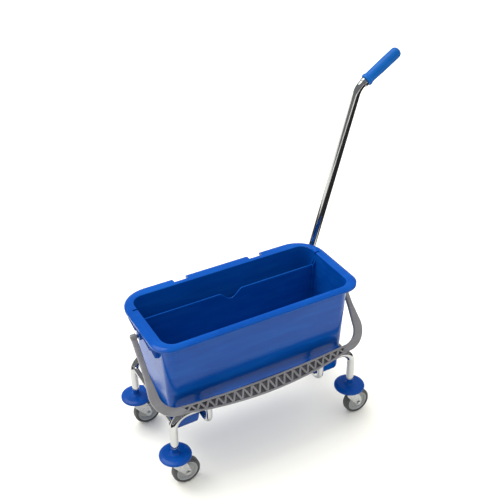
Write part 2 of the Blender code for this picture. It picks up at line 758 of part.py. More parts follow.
def bumper_disc(name):
    """A domed disc with a rounded lip and a neck that rises to the leg."""
    top, bottom = DISC_TOP, DISC_TOP - BUMPER_THICKNESS
    bore = STEM_RADIUS + GAP
    profile = [
        (bore, LEG_FOOT - PLUG_FLANGE - GAP),
        (BUMPER_NECK, LEG_FOOT - PLUG_FLANGE - GAP),
        (BUMPER_NECK + 0.0015, top + 0.004),
        (BUMPER_NECK + 0.005, top + 0.0005),
        (BUMPER_RADIUS - 0.012, top - 0.0005),
    ]
    for step in range(1, 4):
        angle = math.pi / 2 * step / 3
        profile.append(
            (
                BUMPER_RADIUS - 0.007 + 0.007 * math.sin(angle),
                top - 0.008 + 0.007 * math.cos(angle),
            )
        )
    profile += [
        (BUMPER_RADIUS, bottom + 0.001),
        (BUMPER_RADIUS - 0.0025, bottom + 0.001),
        (BUMPER_RADIUS - 0.006, top - 0.0065),
        (BUMPER_NECK + 0.003, top - 0.0055),
        (BUMPER_NECK + 0.003, bottom),
        (bore, bottom),
    ]
    return settled(turned(name, profile, "bumper_blue", 22))



def stem(name):
    """The castor's stem: a headed pin through the crown and disc, with a plug inside the leg."""
    plug = TUBE_RADIUS - TUBE_WALL - GAP
    foot = CROWN_BOTTOM - GAP
    flange_low = LEG_FOOT - PLUG_FLANGE
    profile = [
        (0.0, LEG_FOOT + PLUG_LENGTH),
        (plug * 0.8, LEG_FOOT + PLUG_LENGTH),
        (plug, LEG_FOOT + PLUG_LENGTH - 0.003),
        (plug, LEG_FOOT - GAP),
        (TUBE_RADIUS, LEG_FOOT - GAP),
        (TUBE_RADIUS, flange_low),
        (STEM_RADIUS, flange_low),
        (STEM_RADIUS, foot),
        (STEM_HEAD_RADIUS, foot),
        (STEM_HEAD_RADIUS, foot - STEM_HEAD),
        (0.0, foot - STEM_HEAD),
    ]
    return settled(turned(name, profile, "zinc_plated", 12))


def fork(name):
    """The swivel fork: a crown on a bent plate whose two sides reach back and down to the axle."""
    plate_in = WHEEL_WIDTH / 2 + FORK_GAP
    plate_out = plate_in + FORK_PLATE
    front, back, plate_top = -CROWN_RADIUS * 0.86, TRAIL - 0.004, CROWN_BOTTOM + FORK_PLATE + 0.001
    foot_radius = 0.0095
    outline = [(front + 0.002, plate_top), (front, plate_top - 0.003), (front, plate_top - 0.010)]
    for step in range(6):
        angle = math.radians(215 + 150 * step / 5)
        outline.append(
            (TRAIL + foot_radius * math.cos(angle), WHEEL_RADIUS + foot_radius * math.sin(angle))
        )
    outline += [(TRAIL + 0.005, plate_top - 0.008), (back, plate_top)]
    made = slab(name, outline, 2 * plate_out, "zinc_plated")
    made.data.transform(Matrix.Rotation(math.pi / 2, 4, "X"))
    gap = box(f"{name}_gap", (-0.1, -plate_in, 0.0), (0.1, plate_in, CROWN_BOTTOM))
    combine(made, gap, "DIFFERENCE")
    profile = [
        (0.0, CROWN_TOP),
        (CROWN_RADIUS * 0.75, CROWN_TOP),
        (CROWN_RADIUS, CROWN_TOP - 0.003),
        (CROWN_RADIUS, CROWN_BOTTOM + 0.0015),
        (0.0, CROWN_BOTTOM + 0.0015),
    ]
    crown = settled(turned(f"{name}_crown", profile, "zinc_plated", 16))
    combine(made, crown, "UNION")
    made = settled(made)
    stem_low, stem_high = (0, 0, CROWN_BOTTOM - 0.01), (0, 0, CROWN_TOP + 0.01)
    stem_hole = rod(f"{name}_stem_hole", stem_low, stem_high, STEM_RADIUS + GAP)
    near, far = (TRAIL, -WHEEL_WIDTH, WHEEL_RADIUS), (TRAIL, WHEEL_WIDTH, WHEEL_RADIUS)
    axle_hole = rod(f"{name}_axle_hole", near, far, AXLE_RADIUS + GAP)
    for cut in (stem_hole, axle_hole):
        combine(made, cut, "DIFFERENCE")
    return settled(made)


def axle(name):
    """The axle bolt, headed at both ends."""
    half = WHEEL_WIDTH / 2 + FORK_GAP + FORK_PLATE + GAP
    head, thick = AXLE_RADIUS + 0.0025, 0.003
    profile = [
        (0.0, half + thick),
        (head * 0.8, half + thick),
        (head, half + thick * 0.5),
        (head, half),
        (AXLE_RADIUS, half),
        (AXLE_RADIUS, -half),
        (head, -half),
        (head, -half - thick * 0.5),
        (head * 0.8, -half - thick),
        (0.0, -half - thick),
    ]
    return settled(turned(name, profile, "zinc_plated", 10))


def wheel_core(name):
    """The wheel's centre: a hub, a dished web and a rim."""
    seat = WHEEL_RADIUS - TYRE_DEPTH - GAP
    hub, half = 0.010, WHEEL_WIDTH / 2
    profile = [
        (AXLE_RADIUS + GAP, half),
        (hub, half),
        (hub + 0.001, 0.004),
        (seat - 0.004, 0.004),
        (seat - 0.003, CORE_WIDTH / 2),
        (seat, CORE_WIDTH / 2),
        (seat, -CORE_WIDTH / 2),
        (seat - 0.003, -CORE_WIDTH / 2),
        (seat - 0.004, -0.004),
        (hub + 0.001, -0.004),
        (hub, -half),
        (AXLE_RADIUS + GAP, -half),
    ]
    return settled(turned(name, profile, "wheel_core", WHEEL_SIDES))


def tyre(name):
    """The tyre: a ring with a flat seat and round shoulders."""
    seat, half, shoulder = WHEEL_RADIUS - TYRE_DEPTH, WHEEL_WIDTH / 2, 0.005
    profile = [(seat, half - 0.0015)]
    for step in range(3):
        angle = math.pi / 2 * step / 2
        profile.append(
            (
                WHEEL_RADIUS - shoulder * (1 - math.sin(angle)),
                half - shoulder * (1 - math.cos(angle)),
            )
        )
    profile += [(radius, -height) for radius, height in reversed(profile)]
    return settled(turned(name, profile, "tyre_rubber", WHEEL_SIDES))


def castors():
    """Four castors, each with its stem in a leg and a bumper disc above the fork."""
    makers = {
        "stem": stem,
        "bumper_disc": bumper_disc,
        "fork": fork,
        "axle": axle,
        "wheel_core": wheel_core,
        "tyre": tyre,
    }
    first = {}
    for leg, (x, y) in zip(LEG_NAMES, LEG_PLACES):
        for kind, maker in makers.items():
            name = f"{leg}_{kind}"
            if kind in first:
                made = bpy.data.objects.new(name, first[kind])
                parts.objects.link(made)
            else:
                made = maker(name)
                first[kind] = made.data
            made.location = (x, y, 0.0)
            if kind in ("axle", "wheel_core", "tyre"):
                made.location = (x + TRAIL, y, WHEEL_RADIUS)
                made.rotation_euler = (math.pi / 2, 0.0, 0.0)


def centre_on_footprint():
    """Moves the model so that the middle of its footprint is the origin."""
    bpy.context.view_layer.update()
    corners = [
        made.matrix_world @ Vector(corner) for made in parts.objects for corner in made.bound_box
    ]
    middle_x = (min(c.x for c in corners) + max(c.x for c in corners)) / 2
    middle_y = (min(c.y for c in corners) + max(c.y for c in corners)) / 2
    for made in parts.objects:
        made.location -= Vector((middle_x, middle_y, 0.0))


bucket()
divider()
swing_handle()
for side, name in ((-1, "left"), (1, "right")):
    pivot_pin(side, f"{name}_pivot_pin")
    cross_tube(side, f"{name}_cross_tube")
    stirrup(side, f"{name}_stirrup")
tube("front_leg_tube", leg_path(-RAIL_Y), TUBE_RADIUS, "chromed_tube", TUBE_WALL, 6)
tube("rear_leg_tube", leg_path(RAIL_Y), TUBE_RADIUS, "chromed_tube", TUBE_WALL, 6)
push_handle()
castors()
centre_on_footprint()
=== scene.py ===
"""A mopping bucket with its divider and swing handle, on a chromed trolley, dressed piece by piece."""

import math

import bmesh
import bpy
import numpy as np
from mathutils import Matrix, Vector


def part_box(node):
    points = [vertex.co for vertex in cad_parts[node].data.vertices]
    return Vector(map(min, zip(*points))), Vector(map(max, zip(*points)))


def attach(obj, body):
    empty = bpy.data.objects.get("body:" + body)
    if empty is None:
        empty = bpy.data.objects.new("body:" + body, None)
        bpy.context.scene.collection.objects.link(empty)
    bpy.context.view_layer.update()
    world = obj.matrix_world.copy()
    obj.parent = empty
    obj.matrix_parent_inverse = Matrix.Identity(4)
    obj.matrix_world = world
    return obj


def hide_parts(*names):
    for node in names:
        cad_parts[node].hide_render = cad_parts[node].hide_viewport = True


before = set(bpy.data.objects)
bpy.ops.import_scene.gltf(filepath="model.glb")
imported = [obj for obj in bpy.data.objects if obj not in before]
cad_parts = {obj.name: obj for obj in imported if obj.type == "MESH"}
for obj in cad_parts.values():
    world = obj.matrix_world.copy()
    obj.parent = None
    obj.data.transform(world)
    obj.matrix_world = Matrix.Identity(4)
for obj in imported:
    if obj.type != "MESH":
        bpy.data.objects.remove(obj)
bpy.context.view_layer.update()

# ---- Leg tubes -----------------------------------------------------------------------------
# Two lengths of bright chromed steel tube, each bent down at both ends to make a front pair
# and a rear pair of legs. Everything else on the trolley is welded or plugged to them.

tube_low, tube_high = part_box("front_leg_tube")
MIDDLE = (tube_low.x + tube_high.x) / 2
RAIL_Y = -(tube_low.y + tube_high.y) / 2
TUBE_RADIUS = (tube_high.y - tube_low.y) / 2
RAIL_HEIGHT = tube_high.z - TUBE_RADIUS
LEG_X = (tube_high.x - tube_low.x) / 2 - TUBE_RADIUS
LEG_FOOT = tube_low.z
TUBE_BEND = 0.045
TUBE_WALL = 0.0018
GAP = 0.0003


def rounded_line(corners, radii, steps=12):
    """The polyline through the corners, each inner corner replaced by an arc.

    The arc's centre lies on the bisector, radius / sin(half the corner's angle) from the corner,
    and its points are the unit spokes to its two ends mixed by the sine of the angle between."""
    corners = np.asarray(corners, float)
    radii = np.broadcast_to(radii, len(corners) - 2)
    runs = [corners[:1]]
    for before, corner, after, radius in zip(corners, corners[1:], corners[2:], radii):
        back = (before - corner) / np.linalg.norm(before - corner)
        ahead = (after - corner) / np.linalg.norm(after - corner)
        half = np.arccos(np.clip(back @ ahead, -1, 1)) / 2
        bisector = (back + ahead) / np.linalg.norm(back + ahead)
        centre = corner + bisector * radius / np.sin(half)
        first = corner + back * radius / np.tan(half) - centre
        last = corner + ahead * radius / np.tan(half) - centre
        sweep = np.pi - 2 * half
        turn = np.linspace(0, sweep, steps + 1)[:, None]
        runs.append(centre + (first * np.sin(sweep - turn) + last * np.sin(turn)) / np.sin(sweep))
    runs.append(corners[-1:])
    return np.concatenate(runs)


def subdivided(points, longest):
    """The polyline with extra points, so that no stretch is longer than the given length."""
    steps = np.diff(points, axis=0)
    counts = np.maximum(np.ceil(np.linalg.norm(steps, axis=1) / longest).astype(int), 1)
    start = np.repeat(points[:-1], counts, axis=0)
    share = np.concatenate([np.arange(n) / n for n in counts])[:, None]
    return np.concatenate([start + share * np.repeat(steps, counts, axis=0), points[-1:]])


def ring_section(radius, count=40):
    """A circle of (across, up) pairs: radius times the cosine and sine of the angle."""
    turn = np.linspace(0, 2 * np.pi, count, endpoint=False)
    return radius * np.stack([np.cos(turn), np.sin(turn)], 1)


def along(path, section, binormal):
    """The grid of a section carried along a flat path.

    Point (i, k) = path[i] + section[k].across * normal[i] + section[k].up * binormal, where the
    normal is the binormal crossed with the path's tangent, and section may differ at each i."""
    path = np.asarray(path, float)
    binormal = np.asarray(binormal, float)
    tangent = np.gradient(path, axis=0)
    tangent /= np.linalg.norm(tangent, axis=1)[:, None]
    normal = np.cross(binormal, tangent)
    normal /= np.linalg.norm(normal, axis=1)[:, None]
    section = np.broadcast_to(section, (len(path), *np.shape(section)[-2:]))
    return path[:, None] + section[..., :1] * normal[:, None] + section[..., 1:] * binormal


def shut(grid):
    """The grid with its first and last rows closed: each end gets a row at the middle of it."""
    ends = [np.broadcast_to(row.mean(0), row.shape)[None] for row in (grid[0], grid[-1])]
    return np.concatenate([ends[0], grid, ends[1]])


def hollow(grid, inner):
    """A tube from its outer and inner grids: out along the first, back along the second, closed."""
    return np.concatenate([grid, inner[::-1], grid[:1]])


def mesh_of(name, *grids, sharp=38):
    """One smooth-shaded mesh of several grids (i, k), each wrapped round in k.

    Quad (i, k) joins (i, k), (i+1, k), (i+1, k+1) and (i, k+1); points that meet are merged."""
    points, quads, base = [], [], 0
    for grid in grids:
        rows, columns = grid.shape[:2]
        index = base + np.arange(rows * columns).reshape(rows, columns)
        beside = np.roll(index, -1, axis=1)
        quads.append(
            np.stack([index[:-1], beside[:-1], beside[1:], index[1:]], -1).reshape(-1, 4)
        )
        points.append(grid.reshape(-1, 3))
        base += rows * columns
    mesh = bpy.data.meshes.new(name)
    mesh.from_pydata(np.concatenate(points), [], np.concatenate(quads))
    work = bmesh.new()
    work.from_mesh(mesh)
    bmesh.ops.remove_doubles(work, verts=work.verts, dist=0.00001)
    bmesh.ops.dissolve_degenerate(work, edges=work.edges, dist=0.000005)
    bmesh.ops.recalc_face_normals(work, faces=work.faces)
    work.to_mesh(mesh)
    work.free()
    mesh.transform(Matrix.Translation((MIDDLE, 0, 0)))
    mesh.shade_smooth()
    mesh.set_sharp_from_angle(angle=math.radians(sharp))
    return mesh


class Link:
    """A socket of a finish. Arithmetic on it adds a Math node."""

    def __init__(self, finish, socket):
        self.finish, self.socket = finish, socket

    def maths(self, operation, left, right):
        return self.finish.node("ShaderNodeMath", {"operation": operation}, {0: left, 1: right})

    def __add__(self, other):
        return self.maths("ADD", self, other)

    def __mul__(self, other):
        return self.maths("MULTIPLY", self, other)

    __radd__ = __add__
    __rmul__ = __mul__

    def output(self, name):
        return Link(self.finish, self.socket.node.outputs[name])


class Finish:
    """A material built from nodes, on the Principled shader."""

    def __init__(self, name):
        self.material = bpy.data.materials.new(name)
        self.material.use_nodes = True
        self.tree = self.material.node_tree
        self.shader = self.tree.nodes["Principled BSDF"]
        self.place = self.node("ShaderNodeTexCoord").output("Object")

    def set(self, node, sockets):
        for key, value in sockets.items():
            if isinstance(value, Link):
                self.tree.links.new(value.socket, node.inputs[key])
            else:
                node.inputs[key].default_value = value

    def node(self, kind, settings=None, sockets=None):
        """A new node: its settings (and a ramp's stops) first, then its sockets' values or links."""
        made = self.tree.nodes.new(kind)
        for key, value in (settings or {}).items():
            if key == "stops":
                ramp = made.color_ramp
                while len(ramp.elements) < len(value):
                    ramp.elements.new(0.5)
                for element, (position, shade) in zip(ramp.elements, value):
                    element.position = position
                    element.color = (shade, shade, shade, 1) if isinstance(shade, float) else shade
            else:
                setattr(made, key, value)
        self.set(made, sockets or {})
        return Link(self, made.outputs[0])

    def noise(self, scale, detail=3.0, rough=0.5, stretch=(1, 1, 1), warp=0.0):
        """Noise from 0 to 1 over the piece, finer along an axis that is stretched more."""
        spot = self.node("ShaderNodeMapping", None, {"Vector": self.place, "Scale": stretch})
        sockets = {"Vector": spot, "Scale": scale, "Detail": detail, "Roughness": rough, "Distortion": warp}
        return self.node("ShaderNodeTexNoise", {"noise_dimensions": "3D"}, sockets)

    def ramp(self, value, *stops):
        return self.node("ShaderNodeValToRGB", {"stops": stops}, {"Fac": value})

    def blend(self, share, first, second):
        """The first colour where share is 0 and the second where it is 1."""
        mixed = self.node("ShaderNodeMix", {"data_type": "RGBA"}, {0: share})
        self.set(mixed.socket.node, {6: first, 7: second})
        return Link(self, mixed.socket.node.outputs[2])

    def bumps(self, *layers):
        """Normals from (height, strength, distance) layers, one Bump node on the next."""
        normal = None
        for height, strength, distance in layers:
            sockets = {"Height": height, "Strength": strength, "Distance": distance}
            if normal is not None:
                sockets["Normal"] = normal
            normal = self.node("ShaderNodeBump", None, sockets)
        return normal

    def finish(self, **sockets):
        """Sets the shader's sockets, named with underscores, and gives the material."""
        self.set(self.shader, {key.replace("_", " "): value for key, value in sockets.items()})
        return self.material


def shade(red, green, blue):
    """An opaque colour in linear light."""
    return (red, green, blue, 1.0)


def chrome(name, smear=1.0):
    """Bright plating: near-mirror, with wiping smears, hairlines and a faint wave in the surface."""
    made = Finish(name)
    smears = made.ramp(made.noise(14, 5, 0.6, (1, 1, 0.35), 1.2), (0.42, 0.0), (0.78, 1.0))
    hairlines = made.ramp(made.noise(420, 2, 0.5, (1, 1, 0.03)), (0.60, 0.0), (0.72, 1.0))
    specks = made.ramp(made.noise(620, 2), (0.70, 0.0), (0.78, 1.0))
    colour = made.blend(smears, shade(0.53, 0.535, 0.545), shade(0.45, 0.455, 0.465))
    colour = made.blend(specks * 0.35, colour, shade(0.26, 0.265, 0.27))
    return made.finish(
        Base_Color=colour,
        Metallic=1.0,
        Roughness=0.055 + smears * 0.07 * smear + hairlines * 0.05,
        Normal=made.bumps((made.noise(38, 2), 0.02, 0.002), (hairlines, 0.02, 0.0002)),
    )


CHROME = chrome("chromed_tube")


def piece(name, mesh, finish, body, slot, *nodes):
    """The finished piece: rides on its body, stands for its nodes and wears the given finish; the slot is not
    used.
    """
    made = bpy.data.objects.new(name, mesh)
    bpy.context.scene.collection.objects.link(made)
    mesh.materials.append(finish)
    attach(made, body)
    if nodes:
        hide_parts(*nodes)
    return made


def leg_line(y):
    """The middle line of a leg tube."""
    corners = [
        (-LEG_X, y, LEG_FOOT),
        (-LEG_X, y, RAIL_HEIGHT),
        (LEG_X, y, RAIL_HEIGHT),
        (LEG_X, y, LEG_FOOT),
    ]
    return subdivided(rounded_line(corners, TUBE_BEND, 20), 0.02)


for name, y in (("front_leg_tube", -RAIL_Y), ("rear_leg_tube", RAIL_Y)):
    line = leg_line(y)
    outer = along(line, ring_section(TUBE_RADIUS), (0, 1, 0))
    inner = along(line, ring_section(TUBE_RADIUS - TUBE_WALL), (0, 1, 0))
    piece(f"{name}_chromed", mesh_of(name, hollow(outer, inner)), CHROME, "trolley", "chromed_tube", name)

# ---- Cross tubes and stirrups ---------------------------------------------------------------
# A thin tube joins the front and rear leg at each end, and two bent bars hang between the
# rails to carry the bucket. All are welded on before plating, so each joint has a small fillet.

CROSS_RADIUS = 0.008
CROSS_HEIGHT = 0.213
STIRRUP_X = 0.176
STIRRUP_RADIUS = 0.009
stirrup_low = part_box("left_stirrup")[0].z


def weld(centre, axis, bar, reach=0.0028):
    """A weld fillet round a bar: a ring that flares by reach towards the tube it meets.

    Radius at share t of its height = bar + reach * (1 - t) squared, rippled by the torch."""
    axis = np.asarray(axis, float)
    side = np.cross(axis, (0.31, 0.52, 0.79))
    side /= np.linalg.norm(side)
    other = np.cross(axis, side)
    turn = np.linspace(0, 2 * np.pi, 48, endpoint=False)[None]
    share = np.array([0.0, 0.0, 0.15, 0.35, 0.6, 0.85, 1.0, 1.0])[:, None]
    radius = bar + reach * (1 - share) ** 2 * (1 + 0.10 * np.sin(17 * turn + 3 * share))
    radius[0], radius[-1] = bar - 0.001, bar - 0.001
    height = (share - 0.35) * reach * 1.8
    spoke = np.cos(turn)[..., None] * side + np.sin(turn)[..., None] * other
    return np.asarray(centre, float) + height[..., None] * axis + radius[..., None] * spoke


rise = CROSS_HEIGHT - (RAIL_HEIGHT - TUBE_BEND)
cross_x = LEG_X - TUBE_BEND + math.sqrt(TUBE_BEND**2 - rise**2)
for side, name in ((-1, "left"), (1, "right")):
    ends = np.array([(side * cross_x, y, CROSS_HEIGHT) for y in (-RAIL_Y, RAIL_Y)])
    line = subdivided(ends, 0.02)
    tube = along(line, ring_section(CROSS_RADIUS), (0, 0, 1))
    welds = [
        weld((side * cross_x, inward * (TUBE_RADIUS - RAIL_Y), CROSS_HEIGHT), (0, inward, 0), CROSS_RADIUS)
        for inward in (1, -1)
    ]
    mesh = mesh_of(f"{name}_cross_tube", shut(tube), *welds)
    piece(f"{name}_cross_tube_chromed", mesh, CHROME, "trolley", "chromed_tube", f"{name}_cross_tube")
    x = side * STIRRUP_X
    level = stirrup_low + STIRRUP_RADIUS
    corners = [(x, -RAIL_Y, RAIL_HEIGHT), (x, -RAIL_Y, level), (x, RAIL_Y, level), (x, RAIL_Y, RAIL_HEIGHT)]
    line = subdivided(rounded_line(corners, 0.024, 14), 0.02)
    bar = along(line, ring_section(STIRRUP_RADIUS), (1, 0, 0))
    welds = [
        weld((x, y, RAIL_HEIGHT - TUBE_RADIUS * 0.95), (0, 0, -1), STIRRUP_RADIUS) for y in (-RAIL_Y, RAIL_Y)
    ]
    mesh = mesh_of(f"{name}_stirrup", shut(bar), *welds)
    piece(f"{name}_stirrup_chromed", mesh, CHROME, "trolley", "chromed_tube", f"{name}_stirrup")

# ---- Push handle ----------------------------------------------------------------------------
# A chromed tube with one bend, pushed into a socket that is welded on the rear leg tube and
# held there by a cross bolt. A soft blue grip with a flared cuff is driven onto its top end.

PUSH_LEAN = math.radians(16.1)
PUSH_FOOT = LEG_X - 0.0265
PUSH_BEND_HEIGHT = 0.906
GRIP_TILT = math.radians(33.0)
GRIP_START = 0.028
GRIP_LENGTH = 0.127
GRIP_RADIUS = 0.0165
SOCKET_LENGTH = 0.075
SOCKET_RADIUS = 0.0138

shaft_way = np.array([math.sin(PUSH_LEAN), 0, math.cos(PUSH_LEAN)])
grip_way = np.array([math.cos(GRIP_TILT), 0, math.sin(GRIP_TILT)])
push_root = np.array([PUSH_FOOT, RAIL_Y, RAIL_HEIGHT])
push_corner = push_root + shaft_way * (PUSH_BEND_HEIGHT - RAIL_HEIGHT) / math.cos(PUSH_LEAN)
grip_foot = push_corner + grip_way * GRIP_START


def spun(profile, foot, axis, count=64):
    """The grid of a (radius, height) profile turned about an axis through foot.

    Point (i, k) = foot + height[i] * axis + radius[i] * spoke[k]."""
    axis = np.asarray(axis, float) / np.linalg.norm(axis)
    side = np.cross(axis, (0, 1, 0) if abs(axis[1]) < 0.9 else (1, 0, 0))
    side /= np.linalg.norm(side)
    other = np.cross(axis, side)
    turn = np.linspace(0, 2 * np.pi, count, endpoint=False)[:, None]
    spokes = np.cos(turn) * side + np.sin(turn) * other
    profile = np.asarray(profile, float)
    return np.asarray(foot, float) + profile[:, None, 1:] * axis + profile[:, None, :1] * spokes


def eased(profile, radius, steps=5):
    """A (radius, height) profile with its corners rounded."""
    return rounded_line(profile, radius, steps)


line = rounded_line([push_root + shaft_way * 0.0225, push_corner, grip_foot + grip_way * 0.09], 0.045, 24)
line = subdivided(line, 0.02)
outer = along(line, ring_section(TUBE_RADIUS), (0, 1, 0))
inner = along(line, ring_section(TUBE_RADIUS - TUBE_WALL), (0, 1, 0))
shaft_chrome = chrome("push_handle_chrome", 0.6)
mesh = mesh_of("push_handle_shaft", hollow(outer, inner))
piece("push_handle_shaft_chromed", mesh, shaft_chrome, "trolley", "chromed_tube", "push_handle_shaft")

seat = TUBE_RADIUS + GAP
profile = [(0.0, 0.008), (SOCKET_RADIUS, 0.008), (SOCKET_RADIUS, SOCKET_LENGTH), (seat, SOCKET_LENGTH)]
cup = np.concatenate([eased(profile, [0.001, 0.0008]), [(seat, 0.022), (0, 0.022)]])
mesh = mesh_of(
    "push_handle_socket",
    spun(cup, push_root, shaft_way),
    weld(push_root + shaft_way * TUBE_RADIUS * 0.95, shaft_way, SOCKET_RADIUS, 0.0034),
)
piece("push_handle_socket_chromed", mesh, CHROME, "trolley", "chromed_tube", "push_handle_socket")


def zinc(name):
    """Bright zinc plate: pale crystals of slightly different brightness over a satin metal."""
    made = Finish(name)
    crystals = made.node(
        "ShaderNodeTexVoronoi", {"feature": "F1"}, {"Vector": made.place, "Scale": 210.0}
    ).output("Color")
    spangle = made.node("ShaderNodeSeparateColor", None, {"Color": crystals})
    grime = made.ramp(made.noise(60, 5, 0.65), (0.5, 0.0), (0.8, 1.0))
    colour = made.blend(spangle, shade(0.44, 0.45, 0.455), shade(0.54, 0.55, 0.555))
    colour = made.blend(grime * 0.5, colour, shade(0.40, 0.40, 0.39))
    return made.finish(
        Base_Color=colour,
        Metallic=1.0,
        Roughness=0.24 + spangle * 0.10 + grime * 0.16,
        Normal=made.bumps((made.noise(520, 3), 0.06, 0.0004), (spangle, 0.03, 0.0003)),
    )


ZINC = zinc("zinc_plate")
bolt_at = push_root + shaft_way * SOCKET_LENGTH * 0.68


def hexagon_head(foot, axis, across, height):
    """A six-sided head: radius at an angle = half the width across flats / cos of the angle off a flat."""
    grid = spun([(1, 0), (1, height * 0.82), (0.93, height), (0, height)], foot, axis, 48)
    grid = np.concatenate([np.broadcast_to(np.asarray(foot, float), grid[:1].shape), grid])
    turn = np.linspace(0, 2 * np.pi, 48, endpoint=False)
    flat = across / 2 / np.cos((turn + np.pi / 6) % (np.pi / 3) - np.pi / 6)
    level = np.array([0, 0, height * 0.82, height, height])[:, None, None] * np.asarray(axis, float)
    centre = np.asarray(foot, float) + level
    return centre + (grid - centre) * flat[None, :, None]


shank = 0.0031
length = 2 * (SOCKET_RADIUS + GAP)
bolt_face = bolt_at + np.array([0, length / 2, 0])
washer = [(shank, 0.0), (0.0062, 0.0), (0.0062, 0.0009), (shank, 0.0009)]
rod = [(0, 0.0), (shank, 0), (shank, length + 0.0026), (0.0024, length + 0.0034), (0, length + 0.0034)]
mesh = mesh_of(
    "push_handle_bolt",
    spun(np.array([*eased(washer, 0.0003, 2), (shank, 0.0)]), bolt_face, (0, 1, 0), 40),
    hexagon_head(bolt_face + np.array([0, 0.0009, 0]), (0, 1, 0), 0.0098, 0.0032),
    spun(rod, bolt_face, (0, -1, 0), 32),
)
piece("push_handle_bolt_zinc", mesh, ZINC, "trolley", "zinc_plated", "push_handle_bolt")

profile = [(seat, 0.0), (0.0137, 0.0), (0.0137, 0.009), (seat, 0.009), (seat, 0.0)]
collar = eased(profile, [0.0012, 0.0012, 0.0002], 5)
mesh = mesh_of("grip_collar", spun(collar, grip_foot - grip_way * 0.0093, grip_way))
piece("grip_collar_chromed", mesh, CHROME, "trolley", "chromed_tube", "grip_collar")


def moulded(name, deep, mid, pale, gloss, grain, bloom=0.5):
    """Injection-moulded plastic: a tone that drifts along the flow, fine grain, rubs and dust.

    Roughness = gloss, raised where the surface is rubbed; the grain and a slow sink show as bump."""
    made = Finish(name)
    drift = made.noise(5.5, 4, 0.55, (1, 1, 1.6), 0.7)
    flow = made.noise(16, 3, 0.5, (0.35, 1, 3.0), 0.4)
    rubs = made.ramp(made.noise(70, 5, 0.62, (1, 2.4, 0.5), 1.6), (0.56, 0.0), (0.80, 1.0))
    hairlines = made.ramp(made.noise(330, 2, 0.5, (1, 0.05, 0.6), 0.6), (0.64, 0.0), (0.72, 1.0))
    dust = made.ramp(made.noise(880, 2), (0.69, 0.0), (0.77, 1.0))
    colour = made.blend(made.ramp(drift, (0.3, 0.0), (0.7, 1.0)), mid, deep)
    colour = made.blend(made.ramp(flow, (0.45, 0.0), (0.75, 1.0)) * 0.35, colour, pale)
    colour = made.blend(rubs * 0.22 * bloom + hairlines * 0.12 + dust * 0.16 * bloom, colour, pale)
    return made.finish(
        Base_Color=colour,
        Roughness=gloss + rubs * 0.14 + hairlines * 0.10 + drift * 0.05,
        Normal=made.bumps(
            (made.noise(9, 2), 0.05, 0.004), (made.noise(1300, 2), grain, 0.0003), (hairlines, -0.03, 0.0002)
        ),
        Specular_IOR_Level=0.19,
    )


grip_tones = shade(0.0010, 0.092, 0.365), shade(0.0015, 0.110, 0.430), shade(0.015, 0.16, 0.56)
GRIP_BLUE = moulded("grip_blue", *grip_tones, 0.32, 0.12)
skin = [(0.0, GRIP_LENGTH), (GRIP_RADIUS * 0.97, GRIP_LENGTH), (GRIP_RADIUS * 0.99, GRIP_LENGTH * 0.5)]
skin += [(GRIP_RADIUS * 0.93, 0.015), (GRIP_RADIUS * 1.08, 0.009), (GRIP_RADIUS * 1.08, 0.001), (seat, 0.001)]
skin = eased(skin, [0.0125, 0.05, 0.010, 0.0028, 0.0024], 10)
skin = np.concatenate([skin, [(seat, 0.095), (0, 0.095)]])
grip = spun(subdivided(skin, 0.002), grip_foot, grip_way, 72)
mesh = mesh_of("push_handle_grip", grip, sharp=50)
piece("push_handle_grip_soft", mesh, GRIP_BLUE, "trolley", "grip_blue", "push_handle_grip")

# ---- Castors and bumper discs ---------------------------------------------------------------
# Each leg ends in a plated swivel castor. Its stem plugs into the tube and carries a loose blue
# disc that fends off walls; a pressed fork under a ball race holds a grey wheel in its tyre.

castor_low, castor_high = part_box("left_front_tyre")
WHEEL_RADIUS = (castor_high.z - castor_low.z) / 2
WHEEL_WIDTH = castor_high.y - castor_low.y
TRAIL = (castor_high.x + castor_low.x) / 2 - MIDDLE + LEG_X
FORK_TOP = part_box("left_front_fork")[1].z
CROWN_BOTTOM = 0.085
disc_low, disc_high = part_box("left_front_bumper_disc")
DISC_RADIUS = (disc_high.y - disc_low.y) / 2
DISC_TOP = disc_low.z + 0.0118
PLATE = 0.0025
FORK_GAP = 0.0018
STEM_RADIUS = 0.005
PLUG_LENGTH = 0.040
AXLE_RADIUS = 0.004

bumper_tones = shade(0.0008, 0.046, 0.250), shade(0.0012, 0.056, 0.300), shade(0.012, 0.10, 0.42)
BUMPER_BLUE = moulded("bumper_blue", *bumper_tones, 0.22, 0.06, 0.5)


def tyre_rubber():
    """Grey rubber: fine pores, scuffs in its roughness where it has rolled, with pale dust caught in the
    pores.
    """
    made = Finish("tyre_rubber")
    pores = made.noise(760, 4, 0.7)
    dust = made.ramp(made.noise(55, 5, 0.7, warp=1.0), (0.45, 0.0), (0.78, 1.0))
    scuff = made.ramp(made.noise(190, 3, 0.6, (0.4, 3, 0.4)), (0.55, 0.0), (0.75, 1.0))
    colour = made.blend(pores, shade(0.030, 0.032, 0.034), shade(0.060, 0.064, 0.066))
    colour = made.blend(dust * 0.55, colour, shade(0.13, 0.13, 0.125))
    return made.finish(
        Base_Color=colour,
        Roughness=0.50 + dust * 0.25 + scuff * 0.12,
        Normal=made.bumps((pores, 0.25, 0.0005), (scuff, 0.10, 0.0006)),
    )


